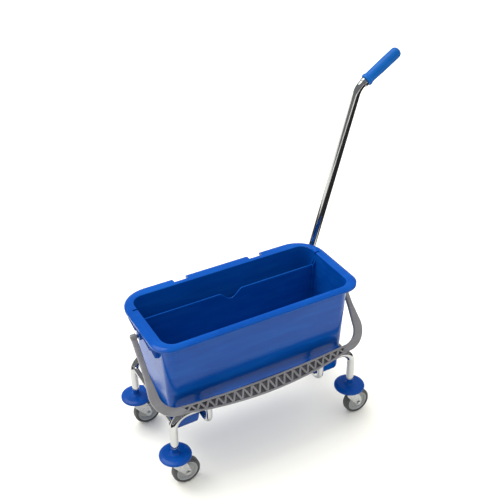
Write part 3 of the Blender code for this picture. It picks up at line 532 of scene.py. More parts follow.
def wheel_grey():
    """Pale grey nylon: cloudy, with moulding grain and a little dirt in patches."""
    made = Finish("wheel_nylon")
    cloud = made.noise(42, 4, 0.6, warp=0.5)
    dirt = made.ramp(made.noise(130, 5, 0.7), (0.52, 0.0), (0.80, 1.0))
    colour = made.blend(cloud, shade(0.30, 0.312, 0.318), shade(0.38, 0.392, 0.398))
    colour = made.blend(dirt * 0.45, colour, shade(0.28, 0.28, 0.27))
    return made.finish(
        Base_Color=colour,
        Roughness=0.34 + cloud * 0.12 + dirt * 0.2,
        Normal=made.bumps((made.noise(900, 2), 0.10, 0.0003), (dirt, 0.05, 0.0003)),
    )


TYRE = tyre_rubber()
NYLON = wheel_grey()


def fork_plate(x, y):
    """The pressed fork: one strip of plate bent over the wheel, tapering to a round foot each side.

    Along s the strip goes up one side, over and down the other; across t it spans from its front
    edge to its back edge, which close in on the axle as a circle at each foot."""
    inside = WHEEL_WIDTH / 2 + FORK_GAP + PLATE / 2
    top = CROWN_BOTTOM + PLATE / 2 + 0.0004
    corners = [(0, -inside, 0.031), (0, -inside, top), (0, inside, top), (0, inside, 0.031)]
    line = subdivided(rounded_line(corners, 0.0055, 8), 0.0022)
    height = line[:, 2]
    foot = 0.0095
    drop = np.clip((WHEEL_RADIUS - height) / foot, -1, 1)
    round_foot = foot * np.sqrt(np.clip(1 - np.clip(drop, 0, 1) ** 2, 0.0, 1))
    up = np.clip((height - WHEEL_RADIUS) / (top - 0.008 - WHEEL_RADIUS), 0, 1)
    front = TRAIL - round_foot + (-0.0146 - TRAIL + foot) * up**0.9
    back = TRAIL + round_foot + (-0.006 - foot + 0.003) * up**1.6
    across = np.linspace(0, 1, 15)
    edge = front[:, None] + (back - front)[:, None] * across
    depth, high = (np.broadcast_to(values, edge.shape) for values in (line[:, 1:2] + y, line[:, 2:]))
    grid = np.stack([edge + x, depth, high], -1)
    lift = 0.0006 * np.sin(np.pi * across) * (up[:, None] > 0) * np.sin(np.pi * up)[:, None]
    grid[..., 1] += np.sign(line[:, 1:2]) * lift
    middle = np.gradient(line, axis=0)
    middle /= np.linalg.norm(middle, axis=1)[:, None]
    outward = np.cross((1, 0, 0), middle)
    face = outward[:, None] * PLATE / 2
    first, second = grid + face, grid - face
    around = np.concatenate([first, second[:, ::-1]], axis=1)
    return shut(around)


for leg in ("left_front", "left_rear", "right_front", "right_rear"):
    low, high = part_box(f"{leg}_bumper_disc")
    x, y = (low.x + high.x) / 2 - MIDDLE, (low.y + high.y) / 2
    foot = (x, y, 0.0)
    hole = STEM_RADIUS + GAP
    profile = [(hole, high.z), (0.0085, high.z), (0.0088, DISC_TOP + 0.0045), (0.0150, DISC_TOP)]
    profile += [(DISC_RADIUS - 0.010, DISC_TOP - 0.0008), (DISC_RADIUS, DISC_TOP - 0.0045)]
    profile += [(DISC_RADIUS, disc_low.z + 0.001), (DISC_RADIUS - 0.0026, disc_low.z + 0.001)]
    profile += [(DISC_RADIUS - 0.006, DISC_TOP - 0.0055), (0.0118, DISC_TOP - 0.0048), (0.0118, disc_low.z)]
    profile += [(hole, disc_low.z), (hole, high.z)]
    radii = [0.0012, 0.004, 0.004, 0.004, 0.0034, 0.0012, 0.0008, 0.002, 0.0015, 0.001, 0.0001]
    mesh = mesh_of(f"{leg}_disc", spun(subdivided(eased(profile, radii, 7), 0.003), foot, (0, 0, 1), 96))
    piece(f"{leg}_bumper_disc_moulded", mesh, BUMPER_BLUE, f"{leg}_disc", "bumper_blue", f"{leg}_bumper_disc")

    plug = TUBE_RADIUS - TUBE_WALL - GAP
    profile = [(0, LEG_FOOT + PLUG_LENGTH), (plug, LEG_FOOT + PLUG_LENGTH), (plug, LEG_FOOT - GAP)]
    profile += [(TUBE_RADIUS, LEG_FOOT - GAP), (TUBE_RADIUS, LEG_FOOT - 0.002)]
    profile += [(STEM_RADIUS, LEG_FOOT - 0.002), (STEM_RADIUS, CROWN_BOTTOM - 0.0004)]
    profile += [(0.009, CROWN_BOTTOM - 0.0004), (0.009, CROWN_BOTTOM - 0.0032), (0, CROWN_BOTTOM - 0.0032)]
    radii = [0.002, 0.0001, 0.0004, 0.0005, 0.0002, 0.0001, 0.0003, 0.0012]
    mesh = mesh_of(f"{leg}_stem", spun(eased(profile, radii), foot, (0, 0, 1), 48))
    piece(f"{leg}_stem_zinc", mesh, ZINC, "trolley", "zinc_plated", f"{leg}_stem")

    race = [(hole, FORK_TOP), (0.0125, FORK_TOP), (0.0162, FORK_TOP - 0.004), (0.0170, FORK_TOP - 0.0075)]
    race += [(0.0152, FORK_TOP - 0.0082), (0.0152, FORK_TOP - 0.0096), (0.0170, FORK_TOP - 0.0104)]
    race += [(0.0166, FORK_TOP - 0.0136), (0.0150, CROWN_BOTTOM + 0.0028), (hole, CROWN_BOTTOM + 0.0028)]
    race += [(hole, FORK_TOP)]
    radii = [0.002, 0.003, 0.0008, 0.0003, 0.0003, 0.0008, 0.001, 0.0005, 0.0001]
    mesh = mesh_of(f"{leg}_fork", fork_plate(x, y), spun(eased(race, radii, 4), foot, (0, 0, 1), 64))
    piece(f"{leg}_fork_pressed", mesh, ZINC, f"{leg}_swivel", "zinc_plated", f"{leg}_fork")

    hub = np.array([x + TRAIL, y, WHEEL_RADIUS])
    reach = WHEEL_WIDTH / 2 + FORK_GAP + PLATE + GAP
    rod = [(0, -reach - 0.0022), (0.003, -reach - 0.0022), (AXLE_RADIUS, -reach - 0.0012)]
    rod += [(AXLE_RADIUS, reach), (0, reach)]
    head = hexagon_head(hub + np.array([0, reach, 0]), (0, 1, 0), 0.0108, 0.0028)
    nut = hexagon_head(hub - np.array([0, reach, 0]), (0, -1, 0), 0.0108, 0.0028)
    mesh = mesh_of(f"{leg}_axle", spun(rod, hub, (0, 1, 0), 32), head, nut)
    piece(f"{leg}_axle_zinc", mesh, ZINC, f"{leg}_swivel", "zinc_plated", f"{leg}_axle")

    seat_radius, half = WHEEL_RADIUS - 0.0085, WHEEL_WIDTH / 2
    side_face = [(AXLE_RADIUS + GAP, half), (0.0095, half), (0.0104, 0.0062), (seat_radius - 0.0075, 0.0046)]
    side_face += [(seat_radius - 0.0042, 0.0098), (seat_radius - GAP, 0.0110)]
    other_face = [(r, -h) for r, h in reversed(side_face)]
    radii = [0.001, 0.003, 0.004, 0.0014, 0.0004, 0.0004, 0.0014, 0.004, 0.003, 0.001]
    rim = eased(side_face + other_face, radii, 5)
    core = spun(np.concatenate([rim, rim[:1]]), hub, (0, 1, 0), 80)
    mesh = mesh_of(f"{leg}_core", core)
    piece(f"{leg}_wheel_nylon", mesh, NYLON, f"{leg}_wheel", "wheel_core", f"{leg}_wheel_core")

    tread = [(seat_radius, half - 0.0012), (seat_radius + 0.0016, half)]
    tread += [(WHEEL_RADIUS - 0.0035, half - 0.0006), (WHEEL_RADIUS, half - 0.0058)]
    tread += [(r, -h) for r, h in reversed(tread)]
    outline = eased(tread, [0.0008, 0.003, 0.0045, 0.0045, 0.003, 0.0008], 7)
    band = spun(np.concatenate([outline, outline[:1]]), hub, (0, 1, 0), 112)
    mesh = mesh_of(f"{leg}_tyre", band, sharp=60)
    piece(f"{leg}_tyre_rubber", mesh, TYRE, f"{leg}_wheel", "tyre_rubber", f"{leg}_tyre")

# ---- Bucket ---------------------------------------------------------------------------------
# One blue moulding. Its walls lean in from a wide turned-down rim; the floor is raised in the
# middle to sit on the stirrups, and ribs and slots on the end walls hold the divider.

bucket_low, bucket_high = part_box("bucket")
RIM = bucket_high.z
BASE = bucket_low.z
OPENING_LENGTH, OPENING_WIDTH = 0.554, 0.235
END_DRAFT, SIDE_DRAFT = 0.045, 0.085
WALL, FLOOR, FOOT_DEPTH = 0.0035, 0.004, 0.040
FLANGE_END, FLANGE_FRONT, FLANGE_BACK = 0.030, 0.018, 0.034
RIM_SLOPE, RIM_FALL = 0.014, 0.0045
BACK_CORNER, FRONT_CORNER = 0.084, 0.050
OPENING_CORNER, CORNER_DRAFT, BASE_FILLET = 0.034, 0.07, 0.014
DIVIDER_Y, DIVIDER_BELOW_RIM, GROOVE = 0.064, 0.037, 0.0028
FIXED_X, FIXED_Y = 0.2, 0.0668
FOOT_EDGE = STIRRUP_X + STIRRUP_RADIUS + 0.004
NOTCH_X, NOTCH_HALF, NOTCH_DEPTH = 0.118, 0.021, 0.014

bucket_tones = shade(0.0005, 0.055, 0.300), shade(0.0008, 0.066, 0.350), shade(0.008, 0.12, 0.46)
BUCKET_BLUE = moulded("bucket_blue", *bucket_tones, 0.12, 0.03, 0.35)


def stations():
    """Where the rings are sampled: (side, place) pairs anticlockwise from the right end's middle.

    Side 0 is right, 1 back, 2 left, 3 front, and 4 to 7 the corners after them; the place is a
    coordinate on a side and a share from 0 to 1 on a corner. Samples crowd where a shape steps."""
    step = FOOT_EDGE + FLOOR * np.array([-1.0, -0.5, -0.2, -0.05, 0.0, 0.0, 0.05, 0.2, 0.5, 1.0])
    step[4:6] += (-0.00002, 0.00002)
    notch = NOTCH_X + np.array([-0.0213, -0.0207, -0.020, -0.016, 0.016, 0.020, 0.0207, 0.0213])
    plain = np.array([0, 0.012, 0.025, 0.04, 0.055, 0.07, 0.085, NOTCH_X, 0.148, 0.16, 0.172])
    plain = np.concatenate([plain, [0.205, 0.215, 0.225, 0.235, 0.243]])
    half = np.unique(np.round(np.concatenate([plain, step, notch]), 6))
    along_x = np.unique(np.concatenate([-half, half]))
    edges = DIVIDER_Y + np.array([-0.0068, -0.0028, 0.0028, 0.0068])
    pairs = np.concatenate([edges - 0.00015, edges + 0.00015])
    along_y = np.unique(np.concatenate([np.linspace(-0.0835, 0.05, 16), pairs, [0.0640, 0.0765, 0.0835]]))
    corner = np.linspace(0, 1, 12)[1:-1]
    runs = [(0, along_y), (4, corner), (1, along_x[::-1]), (5, corner), (2, along_y[::-1])]
    runs += [(6, corner), (3, along_x), (7, corner)]
    side = np.concatenate([np.full(len(values), kind) for kind, values in runs])
    return side, np.concatenate([values for kind, values in runs])


side, place = stations()
right, back, left, front_side = side == 0, side == 1, side == 2, side == 3


def eased_place(place, fixed, nominal, limit):
    """The coordinate kept as it is up to fixed, and past that scaled so that nominal lands on limit."""
    past = np.clip(np.abs(place) - fixed, 0, None)
    return np.sign(place) * (np.minimum(np.abs(place), fixed) + past * (limit - fixed) / (nominal - fixed))


def ring(half_length, back_y, front_y, back_corner, front_corner):
    """A level ring through the stations: straight sides joined by quarter circles.

    A corner point is the corner's centre plus its radius at a quarter turn times its share."""
    xy = np.zeros((len(side), 2))
    for here, sign in ((right, 1), (left, -1)):
        limit = np.where(place[here] > 0, back_y - back_corner, -front_y - front_corner)
        xy[here, 0] = sign * half_length
        xy[here, 1] = eased_place(place[here], FIXED_Y, 0.0835, limit)
    for here, level, corner in ((back, back_y, back_corner), (front_side, front_y, front_corner)):
        xy[here, 0] = eased_place(place[here], FIXED_X, 0.243, half_length - corner)
        xy[here, 1] = level
    for kind, sign_x, level, corner, start in (
        (4, 1, back_y, back_corner, 0),
        (5, -1, back_y, back_corner, 1),
        (6, -1, front_y, front_corner, 2),
        (7, 1, front_y, front_corner, 3),
    ):
        here = side == kind
        turn = (start + place[here]) * np.pi / 2
        xy[here, 0] = sign_x * (half_length - corner) + corner * np.cos(turn)
        xy[here, 1] = level - math.copysign(corner, level) + corner * np.sin(turn)
    return xy


def wall_ring(z, grow):
    """The wall's ring at a height, larger by grow than the cavity."""
    depth = RIM - z
    length = OPENING_LENGTH / 2 - END_DRAFT * depth + grow
    width = OPENING_WIDTH / 2 - SIDE_DRAFT * depth + grow
    corner = max(OPENING_CORNER - CORNER_DRAFT * depth + grow, 0.004)
    return ring(length, width, -width, corner, corner)


def flange_ring(grow):
    """The flange's ring, larger by grow than its outer edge, with the two notches in its back."""
    xy = ring(
        OPENING_LENGTH / 2 + FLANGE_END + grow,
        OPENING_WIDTH / 2 + FLANGE_BACK + grow,
        -OPENING_WIDTH / 2 - FLANGE_FRONT - grow,
        BACK_CORNER + grow,
        FRONT_CORNER + grow,
    )
    inside = np.clip((NOTCH_HALF - np.abs(np.abs(xy[:, 0]) - NOTCH_X)) / 0.0006 + 0.5, 0, 1) * back
    xy[:, 1] -= inside * NOTCH_DEPTH
    return xy


on_ends = right | left
rib = on_ends * ((np.abs(np.abs(place - DIVIDER_Y) - 0.0048) < 0.0020)).astype(float)
slot = on_ends * (np.abs(place - DIVIDER_Y) < GROOVE).astype(float)


def foot_share(x, edge):
    """1 over the raised middle and 0 over the feet, with a quick rounded step at the edge."""
    past = (np.abs(x) - edge) / 0.0040
    eased_step = np.clip(0.5 - 0.5 * np.sign(past) * np.abs(past) ** 0.28, 0, 1)
    return np.where(np.abs(place) < 0.3, eased_step, 0.0) * ((side == 1) | (side == 3))


def floor_rings(z_low, grow, edge, fillet, rows):
    """The floor's rings from its middle line outwards, and the fillet up to the wall.

    A floor point is the fillet's foot with y scaled by its row's share; the fillet is a quarter
    circle that draws the wall's ring in by its radius while it comes down to the floor."""
    level = z_low + FOOT_DEPTH * foot_share(wall_ring(z_low, grow)[:, 0], edge)
    rings = []
    for turn in np.linspace(0, np.pi / 2, 7):
        z = level + fillet * (1 - np.cos(turn))
        xy = wall_ring(z_low, grow - fillet * (1 - np.sin(turn)))
        lean = wall_ring(z_low + FOOT_DEPTH, grow) - wall_ring(z_low, grow)
        xy = xy + lean * ((z - z_low) / FOOT_DEPTH)[:, None]
        rings.append(np.column_stack([xy, z]))
    foot = rings[0]
    shares = np.linspace(0, 1, rows, endpoint=False)
    inner = [np.column_stack([foot[:, 0], foot[:, 1] * share, foot[:, 2]]) for share in shares]
    return inner + rings, rings[-1][:, 2]


def wall_rings(from_z, to_z, grow, rows):
    """Rings up the wall, from each station's own lowest height to a level top."""
    rings = []
    for share in np.linspace(0, 1, rows)[1:]:
        z = from_z + (to_z - from_z) * share
        low, high = wall_ring(BASE, grow), wall_ring(RIM, grow)
        xy = low + (high - low) * ((z - BASE) / (RIM - BASE))[:, None]
        rings.append(np.column_stack([xy, z]))
    return rings


inside, wall_foot = floor_rings(BASE + FLOOR, 0.0, FOOT_EDGE + FLOOR, BASE_FILLET, 7)
rib_top = RIM - DIVIDER_BELOW_RIM + 0.012
up = wall_rings(wall_foot, RIM - 0.0015, 0.0, 26)
for row in [*inside[-3:], *up]:
    raised = rib * (row[:, 2] < rib_top) * np.clip((rib_top - row[:, 2]) / 0.004, 0, 1) ** 0.5
    row[:, 0] -= np.where(right, 1, -1) * raised * 0.009
open_ring, slope_ring = wall_ring(RIM, 0.0), flange_ring(-RIM_SLOPE)
rim = []
for lift, out in ((-0.0015, 0.0), (-0.0007, 0.0002), (-0.0002, 0.0007), (0.0, 0.0015)):
    grown = wall_ring(RIM, out)
    rim.append(np.column_stack([grown, np.full(len(side), RIM + lift)]))
for share in (0.4, 0.8, 0.8375):
    rim.append(np.column_stack([open_ring + (slope_ring - open_ring) * share, np.full(len(side), RIM)]))
for row in [*up, *rim[:6]]:
    row[:, 2] = np.where(slot > 0, np.minimum(row[:, 2], RIM - 0.010), row[:, 2])
for share in (1.0, 0.85, 0.7, 0.55, 0.4, 0.26, 0.14, 0.06, 0.0):
    drawn = flange_ring(-RIM_SLOPE * share)
    fall = RIM_FALL * (1 - share) ** 2.2
    rim.append(np.column_stack([drawn, np.full(len(side), RIM - fall)]))
for drop, grow in ((0.0058, 0.0), (0.0085, 0.0), (0.0110, 0.0), (0.0117, -0.0004), (0.012, -0.0012)):
    rim.append(np.column_stack([flange_ring(grow), np.full(len(side), RIM - drop)]))
inner_lip = ((0.012, -0.0020), (0.0115, -0.0027), (0.0080, -0.0030), (0.0045, -0.0034), (0.0043, -0.0050))
for drop, grow in inner_lip:
    rim.append(np.column_stack([flange_ring(grow), np.full(len(side), RIM - drop)]))
outside, outer_foot = floor_rings(BASE, WALL, FOOT_EDGE, BASE_FILLET + WALL, 6)
down = wall_rings(outer_foot, RIM - RIM_FALL, WALL, 22)[::-1]
bucket_grid = np.stack([*inside, *up, *rim, *down, *outside[::-1]])
bucket_mesh = mesh_of("bucket", bucket_grid, sharp=34)


def gusset(x_wall, y, sign):
    """A stiffening rib under the end flange: a five-sided plate with eased edges."""
    top = RIM - RIM_FALL - 0.0004
    outline = np.array(
        [
            (x_wall + 0.0015, top),
            (OPENING_LENGTH / 2 + FLANGE_END - 0.0045, top),
            (OPENING_LENGTH / 2 + FLANGE_END - 0.0045, top - 0.020),
            (x_wall + 0.011, top - 0.066),
            (x_wall - 0.001, top - 0.070),
        ]
    )
    middle = outline.mean(0)
    rows = []
    half_section = ((-0.0025, 0.55), (-0.0025, 0.97), (-0.0019, 1.0))
    for thick, draw in (*half_section, *((-thick, draw) for thick, draw in reversed(half_section))):
        flat = middle + (outline - middle) * draw
        rows.append(np.stack([sign * flat[:, 0], np.full(5, y + thick), flat[:, 1]], -1))
    return shut(np.stack(rows))


pin_low, pin_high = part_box("left_pivot_pin")
PIVOT_Y, PIVOT_Z = (pin_low.y + pin_high.y) / 2, (pin_low.z + pin_high.z) / 2
wall_out = OPENING_LENGTH / 2 - END_DRAFT * (RIM - PIVOT_Z) + WALL
extras = []
for sign in (-1, 1):
    for offset in (-0.066, -0.030, 0.030, 0.066):
        extras.append(gusset(wall_out - 0.002, PIVOT_Y + offset, sign))
    boss = [(0, -0.0015), (0.0150, -0.0015), (0.0128, 0.004), (0.0128, 0.0255)]
    boss += [(0.0048, 0.0255), (0.0048, 0.008), (0, 0.008)]
    start = (sign * (wall_out - 0.001), PIVOT_Y, PIVOT_Z)
    extras.append(spun(eased(boss, [0.0005, 0.004, 0.0012, 0.0005, 0.0005], 5), start, (sign, 0, 0), 48))
extras_mesh = mesh_of("bucket_ribs", *extras)
piece("bucket_moulded", bucket_mesh, BUCKET_BLUE, "bucket", "blue_plastic", "bucket")
piece("bucket_ribs_moulded", extras_mesh, BUCKET_BLUE, "bucket", "blue_plastic")

for sign, name in ((-1, "left"), (1, "right")):
    low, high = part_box(f"{name}_pivot_pin")
    face = sign * 0.3239
    pin = [(0, 0.0016), (0.0062, 0.0016), (0.0070, 0.0), (0.0045, 0.0), (0.0045, -0.031), (0, -0.031)]
    grid = spun(eased(pin, [0.001, 0.0004, 0.0002, 0.001], 4), (face, PIVOT_Y, PIVOT_Z), (sign, 0, 0), 48)
    mesh = mesh_of(f"{name}_pin", grid)
    piece(f"{name}_pivot_pin_zinc", mesh, ZINC, "bucket", "zinc_plated", f"{name}_pivot_pin")

# ---- Divider --------------------------------------------------------------------------------
# A lift-out plate of the same plastic that stands in the grooves, with a bead along its top
# edge, a finger scoop in the middle, and a lower edge that follows the stepped floor.

DIVIDER_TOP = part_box("divider")[1].z
SCOOP_WIDTH, SCOOP_DEPTH = 0.070, 0.024
cluster = np.array([-0.0016, -0.0012, -0.0004, 0.0, 0.00005, 0.0004, 0.0012])
step_x = FOOT_EDGE + FLOOR + 0.0008
spread = [np.linspace(0, 0.035, 22), np.linspace(0.045, 0.185, 16), step_x + cluster, [0.2]]
half = np.unique(np.round(np.concatenate(spread), 6))
tip = np.linspace(0, 1, 14)


def divider_grid():
    """The plate as sections across its thickness, from its left end to its right end.

    At each x a closed loop goes up the front face, over the bead on the top edge, down the back
    face and under the bottom edge. The loop's height runs from the floor line to the top line."""
    low, high = BASE + FLOOR + GAP, BASE + FOOT_DEPTH + FLOOR + GAP

    def end_x(z):
        """Half the plate's length at a height: the end wall's draft line, less a clearance."""
        return OPENING_LENGTH / 2 - END_DRAFT * (RIM - z) - 0.0012

    chamfer = 0.018
    bevel_x = end_x(low) - chamfer
    past_step = 0.2 + (bevel_x - 0.2) * tip[1:]
    past_bevel = bevel_x + (end_x(low + chamfer) - bevel_x) * tip[1:]
    right_x = np.concatenate([half, past_step, past_bevel])
    bottom = np.where(right_x < step_x, high, low)
    bottom = np.where(right_x > bevel_x, low + (right_x - bevel_x), bottom)
    last = np.array([end_x(DIVIDER_TOP - 0.25 * k) for k in (0.75, 0.5, 0.25, 0.0)])
    right_x = np.concatenate([right_x, last])
    slant = DIVIDER_TOP - 0.25 * np.array([0.75, 0.5, 0.25, 0.006])
    bottom = np.concatenate([bottom, slant])
    x = np.concatenate([-right_x[:0:-1], right_x])
    floor_line = np.concatenate([bottom[:0:-1], bottom])
    scoop_turn = np.pi * np.clip(x / SCOOP_WIDTH, -0.5, 0.5)
    scoop = SCOOP_DEPTH * np.clip(np.cos(scoop_turn), 0, 1) ** 1.5
    top_line = np.full(len(x), DIVIDER_TOP) - scoop
    climb = np.concatenate([[0, 0.02], np.linspace(0.08, 0.9, 12), [0.93, 0.955, 0.97]])
    depth = top_line - floor_line
    front_face = floor_line[:, None] + 0.0006 + (depth[:, None] - 0.0030) * climb
    thick = np.where(top_line[:, None] - front_face < 0.0065, 0.0020, 0.0016) * np.ones_like(front_face)
    over = np.linspace(0, np.pi, 9)[None]
    crest = top_line[:, None] - 0.0020 + 0.0020 * np.sin(over)
    crest_y = -0.0020 * np.cos(over) * np.ones((len(x), 1))
    heights = np.concatenate([front_face, crest, front_face[:, ::-1]], 1)
    across = np.concatenate([-thick, crest_y, thick[:, ::-1]], 1)
    heights = np.maximum(heights, floor_line[:, None])
    return shut(np.stack([np.broadcast_to(x[:, None], heights.shape), DIVIDER_Y + across, heights], -1))


mesh = mesh_of("divider", divider_grid(), sharp=34)
piece("divider_moulded", mesh, BUCKET_BLUE, "divider", "blue_plastic", "divider")

# ---- Swing handle ---------------------------------------------------------------------------
# A grey moulding that swings on the bucket's two pins: plain arms that widen round the corners,
# and a bowed grip lightened by a truss of slanting ribs between two rails.

HANDLE_CORNER, HANDLE_BOW, HANDLE_THICKNESS = 0.061, 0.015, 0.012
ARM_X, ARM_WIDTH, BAND_WIDTH, GRIP_WIDTH, WAIST = 0.3161, 0.015, 0.026, 0.038, 0.007
PITCH, WEB, TRUSS_RAIL = 0.0256, 0.0025, 0.0055
rail_distance = math.hypot(PIVOT_Y + RAIL_Y, PIVOT_Z - RAIL_HEIGHT)
rest = TUBE_RADIUS + HANDLE_THICKNESS / 2 + GAP
swing = math.atan2(PIVOT_Z - RAIL_HEIGHT, PIVOT_Y + RAIL_Y) - math.asin(rest / rail_distance)
HANDLE_REACH = math.sqrt(rail_distance**2 - rest**2) - 0.0064
handle_way = np.array([0, -math.cos(swing), -math.sin(swing)])
handle_face = np.array([0, -math.sin(swing), math.cos(swing)])


def on_handle(points):
    """Handle coordinates (across, away from the pivot, out of the plane) placed on the bucket."""
    points = np.asarray(points, float)
    pivot = np.array([0, PIVOT_Y, PIVOT_Z])
    return pivot + points[..., :1] * (1, 0, 0) + points[..., 1:2] * handle_way + points[..., 2:] * handle_face


def soft_box(half_width, half_height, ease, steps=4):
    """A rounded rectangle of (across, up) pairs; the half-width may be one value for each row."""
    half_width = np.atleast_1d(half_width)[:, None]
    turn = np.linspace(0, np.pi / 2, steps + 1)
    quarter = np.concatenate([turn, turn + np.pi / 2, turn + np.pi, turn + 1.5 * np.pi])
    sign_x = np.repeat([1, -1, -1, 1], steps + 1)
    sign_y = np.repeat([1, 1, -1, -1], steps + 1)
    across = sign_x * (half_width - ease) + ease * np.cos(quarter)
    high = np.broadcast_to(sign_y * (half_height - ease) + ease * np.sin(quarter), across.shape)
    return np.stack([across, high], -1)


straight = ARM_X - HANDLE_CORNER


def bar_edge(x, way):
    """The grip's edge at x: the bowed middle line plus or minus a half width that swells by the bow.

    The outer edge (way 1) starts from the waist, and the inner one (way -1) from half the band."""
    bulge = 1 - (x / straight) ** 2
    end = WAIST if way > 0 else BAND_WIDTH / 2
    return HANDLE_REACH + HANDLE_BOW * bulge + way * (end + (GRIP_WIDTH / 2 - end) * bulge)


def bar_middle(x):
    """The line halfway between the grip's two edges."""
    return (bar_edge(x, 1) + bar_edge(x, -1)) / 2


def bar_half(x):
    """Half the distance between the grip's two edges."""
    return (bar_edge(x, 1) - bar_edge(x, -1)) / 2


truss_end = straight - 0.001
runs = []
for sign in (-1, 1):
    share = np.linspace(0, 1, 20)[1:]
    narrowing = (WAIST - BAND_WIDTH / 2) * share**2 / 2
    reach = HANDLE_CORNER + narrowing
    arm = np.stack([np.full(16, ARM_X), np.linspace(0, HANDLE_REACH - HANDLE_CORNER, 16)], 1)
    turn = share * np.pi / 2
    bend = np.stack([straight + reach * np.cos(turn), HANDLE_REACH - HANDLE_CORNER + reach * np.sin(turn)], 1)
    tail_x = np.linspace(straight, truss_end - 0.005, 4)[1:]
    line = np.concatenate([arm, bend, np.stack([tail_x, bar_middle(tail_x)], 1)])
    widen = np.clip((arm[:, 1] - 0.1055) / (HANDLE_REACH - HANDLE_CORNER - 0.1055), 0, 1)
    half_width = np.concatenate(
        [(ARM_WIDTH + (BAND_WIDTH - ARM_WIDTH) * widen) / 2, BAND_WIDTH / 2 + narrowing, bar_half(tail_x)]
    )
    section = soft_box(half_width, HANDLE_THICKNESS / 2, 0.0028)
    grid = along(np.column_stack([line, np.zeros(len(line))]), section, (0, 0, 1)) * (sign, 1, 1)
    runs.append(on_handle(shut(grid)))
rail_x = np.linspace(-truss_end, truss_end, 90)
rail_section = soft_box(TRUSS_RAIL / 2, HANDLE_THICKNESS / 2, 0.0014)
for way in (-1, 1):
    flat = np.column_stack([rail_x, bar_edge(rail_x, way) - way * TRUSS_RAIL / 2, np.zeros(90)])
    runs.append(on_handle(shut(along(flat, rail_section, (0, 0, 1)))))
flat = np.column_stack([rail_x, bar_middle(rail_x), np.full(90, (WEB - HANDLE_THICKNESS) / 2)])
backing = soft_box(bar_half(rail_x) - 0.0008, WEB / 2, 0.0006)
web = on_handle(shut(along(flat, backing, (0, 0, 1))))
rib_section = soft_box(0.0028, HANDLE_THICKNESS / 2 - 0.0008, 0.0010, 2)
knots = np.clip((np.arange(41) - 20) * PITCH / 2, -truss_end, truss_end)
knot_side = np.where(np.arange(41) % 2 == 0, -1, 1)
knot_away = bar_middle(knots) + knot_side * (bar_half(knots) - 0.0040)
starts = np.column_stack([knots, knot_away, np.zeros(41)])
for first, last in zip(starts[:-1], starts[1:]):
    ends = np.stack([first, (first + last) / 2, last])
    runs.append(on_handle(shut(along(ends, rib_section, (0, 0, 1)))))
for sign in (-1, 1):
    eye = [(0.0048, -0.0075), (0.0090, -0.0075), (0.0090, 0.0075), (0.0048, 0.0075), (0.0048, -0.0075)]
    grid = spun(eased(eye, [0.0012, 0.0012, 0.0004], 4), (sign * ARM_X, PIVOT_Y, PIVOT_Z), (1, 0, 0), 56)
    runs.append(grid)

handle_tones = shade(0.185, 0.182, 0.192), shade(0.225, 0.222, 0.235), shade(0.34, 0.336, 0.350)
HANDLE_GREY = moulded("handle_grey", *handle_tones, 0.34, 0.16, 0.7)
mesh = mesh_of("swing_handle", *runs)
piece("swing_handle_moulded", mesh, HANDLE_GREY, "swing_handle", "grey_plastic", "swing_handle")
# The web behind the truss pockets is a darker grey than the handle: painted shade in the pockets.
pocket_shade_tones = shade(0.100, 0.098, 0.115), shade(0.135, 0.132, 0.152), shade(0.24, 0.238, 0.255)
POCKET_SHADE_GREY = moulded("pocket_painted_shade", *pocket_shade_tones, 0.42, 0.16, 0.8)
piece("swing_handle_shaded_web", mesh_of("handle_web", web), POCKET_SHADE_GREY, "swing_handle", "grey_plastic")

# ---- Room, light and camera -----------------------------------------------------------------
# A pale seamless floor under a broad soft light, seen from the front left and above. Sheets of
# dark felt lie round about, seen only in reflections, so that the chrome has dark edges.

def sheet(name, finish, low, high, height):
    """A level rectangle between two corners, staged as part of the room."""
    mesh = bpy.data.meshes.new(name)
    corners = [(low[0], low[1]), (high[0], low[1]), (high[0], high[1]), (low[0], high[1])]
    mesh.from_pydata([(x, y, height) for x, y in corners], [], [(0, 1, 2, 3)])
    mesh.materials.append(finish)
    made = bpy.data.objects.new(name, mesh)
    bpy.context.scene.collection.objects.link(made)
    return made


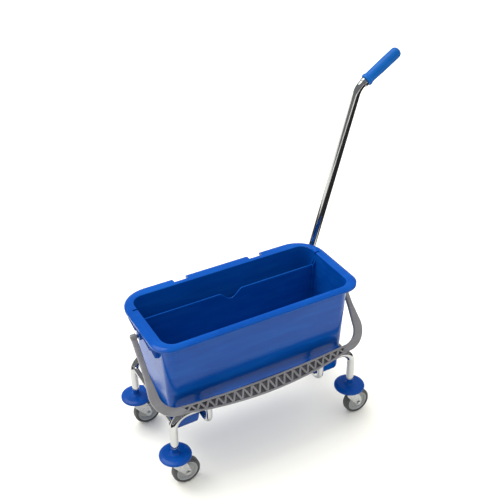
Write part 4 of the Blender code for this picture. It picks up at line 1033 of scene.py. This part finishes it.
paper = Finish("white_paper")
veil = paper.noise(2.2, 4, 0.5)
paper.finish(
    Base_Color=paper.blend(veil, shade(0.92, 0.905, 0.83), shade(0.94, 0.925, 0.85)),
    Roughness=0.75 + veil * 0.1,
)
sheet("paper_sweep", paper.material, (-30, -30), (30, 30), 0)
felt = Finish("dark_felt")
nap = felt.noise(30, 4, 0.6)
felt.finish(Base_Color=felt.blend(nap, shade(0.006, 0.006, 0.008), shade(0.012, 0.012, 0.014)), Roughness=0.9)
for name, low, high in (
    ("front_flag", (-7, -7), (7, -0.62)),
    ("left_flag", (-7, -0.62), (-1.05, 3)),
    ("right_flag", (0.70, -0.62), (7, 3)),
):
    flag = sheet(name, felt.material, low, high, 0.002)
    flag.visible_camera = flag.visible_diffuse = flag.visible_shadow = False


def sun(name, way, angle, energy, seen):
    """A distant light shining along a direction; seen says whether shiny surfaces mirror it."""
    light = bpy.data.lights.new(name, "SUN")
    light.angle = math.radians(angle)
    light.energy = energy
    made = bpy.data.objects.new(name, light)
    made.rotation_mode = "QUATERNION"
    made.rotation_quaternion = Vector(way).to_track_quat("-Z", "Y")
    made.visible_glossy = seen
    bpy.context.scene.collection.objects.link(made)


sun("dome_light", (0.02, -0.40, -1), 150, 3.6, False)
sun("key_light", (0.30, -0.38, -1), 40, 1.5, True)

world = bpy.data.worlds.new("studio")
bpy.context.scene.world = world
world.use_nodes = True
world.node_tree.nodes["Background"].inputs["Color"].default_value = (0.97, 0.985, 1.0, 1)
world.node_tree.nodes["Background"].inputs["Strength"].default_value = 0.26

camera = bpy.data.objects.new("camera", bpy.data.cameras.new("camera"))
bpy.context.scene.collection.objects.link(camera)
ahead = Vector((0.4048, 0.7413, -0.5354)).normalized()
right_way = ahead.cross(Vector((0.2679, 0.4637, 0.8445))).normalized()
up_way = right_way.cross(ahead)
camera.matrix_world = Matrix(
    (
        (right_way.x, up_way.x, -ahead.x, MIDDLE - 0.8873),
        (right_way.y, up_way.y, -ahead.y, -1.6756),
        (right_way.z, up_way.z, -ahead.z, 1.794),
        (0, 0, 0, 1),
    )
)
camera.data.lens = 61.64
camera.data.sensor_width = 36
bpy.context.scene.camera = camera
bpy.context.scene.view_settings.view_transform = "Standard"
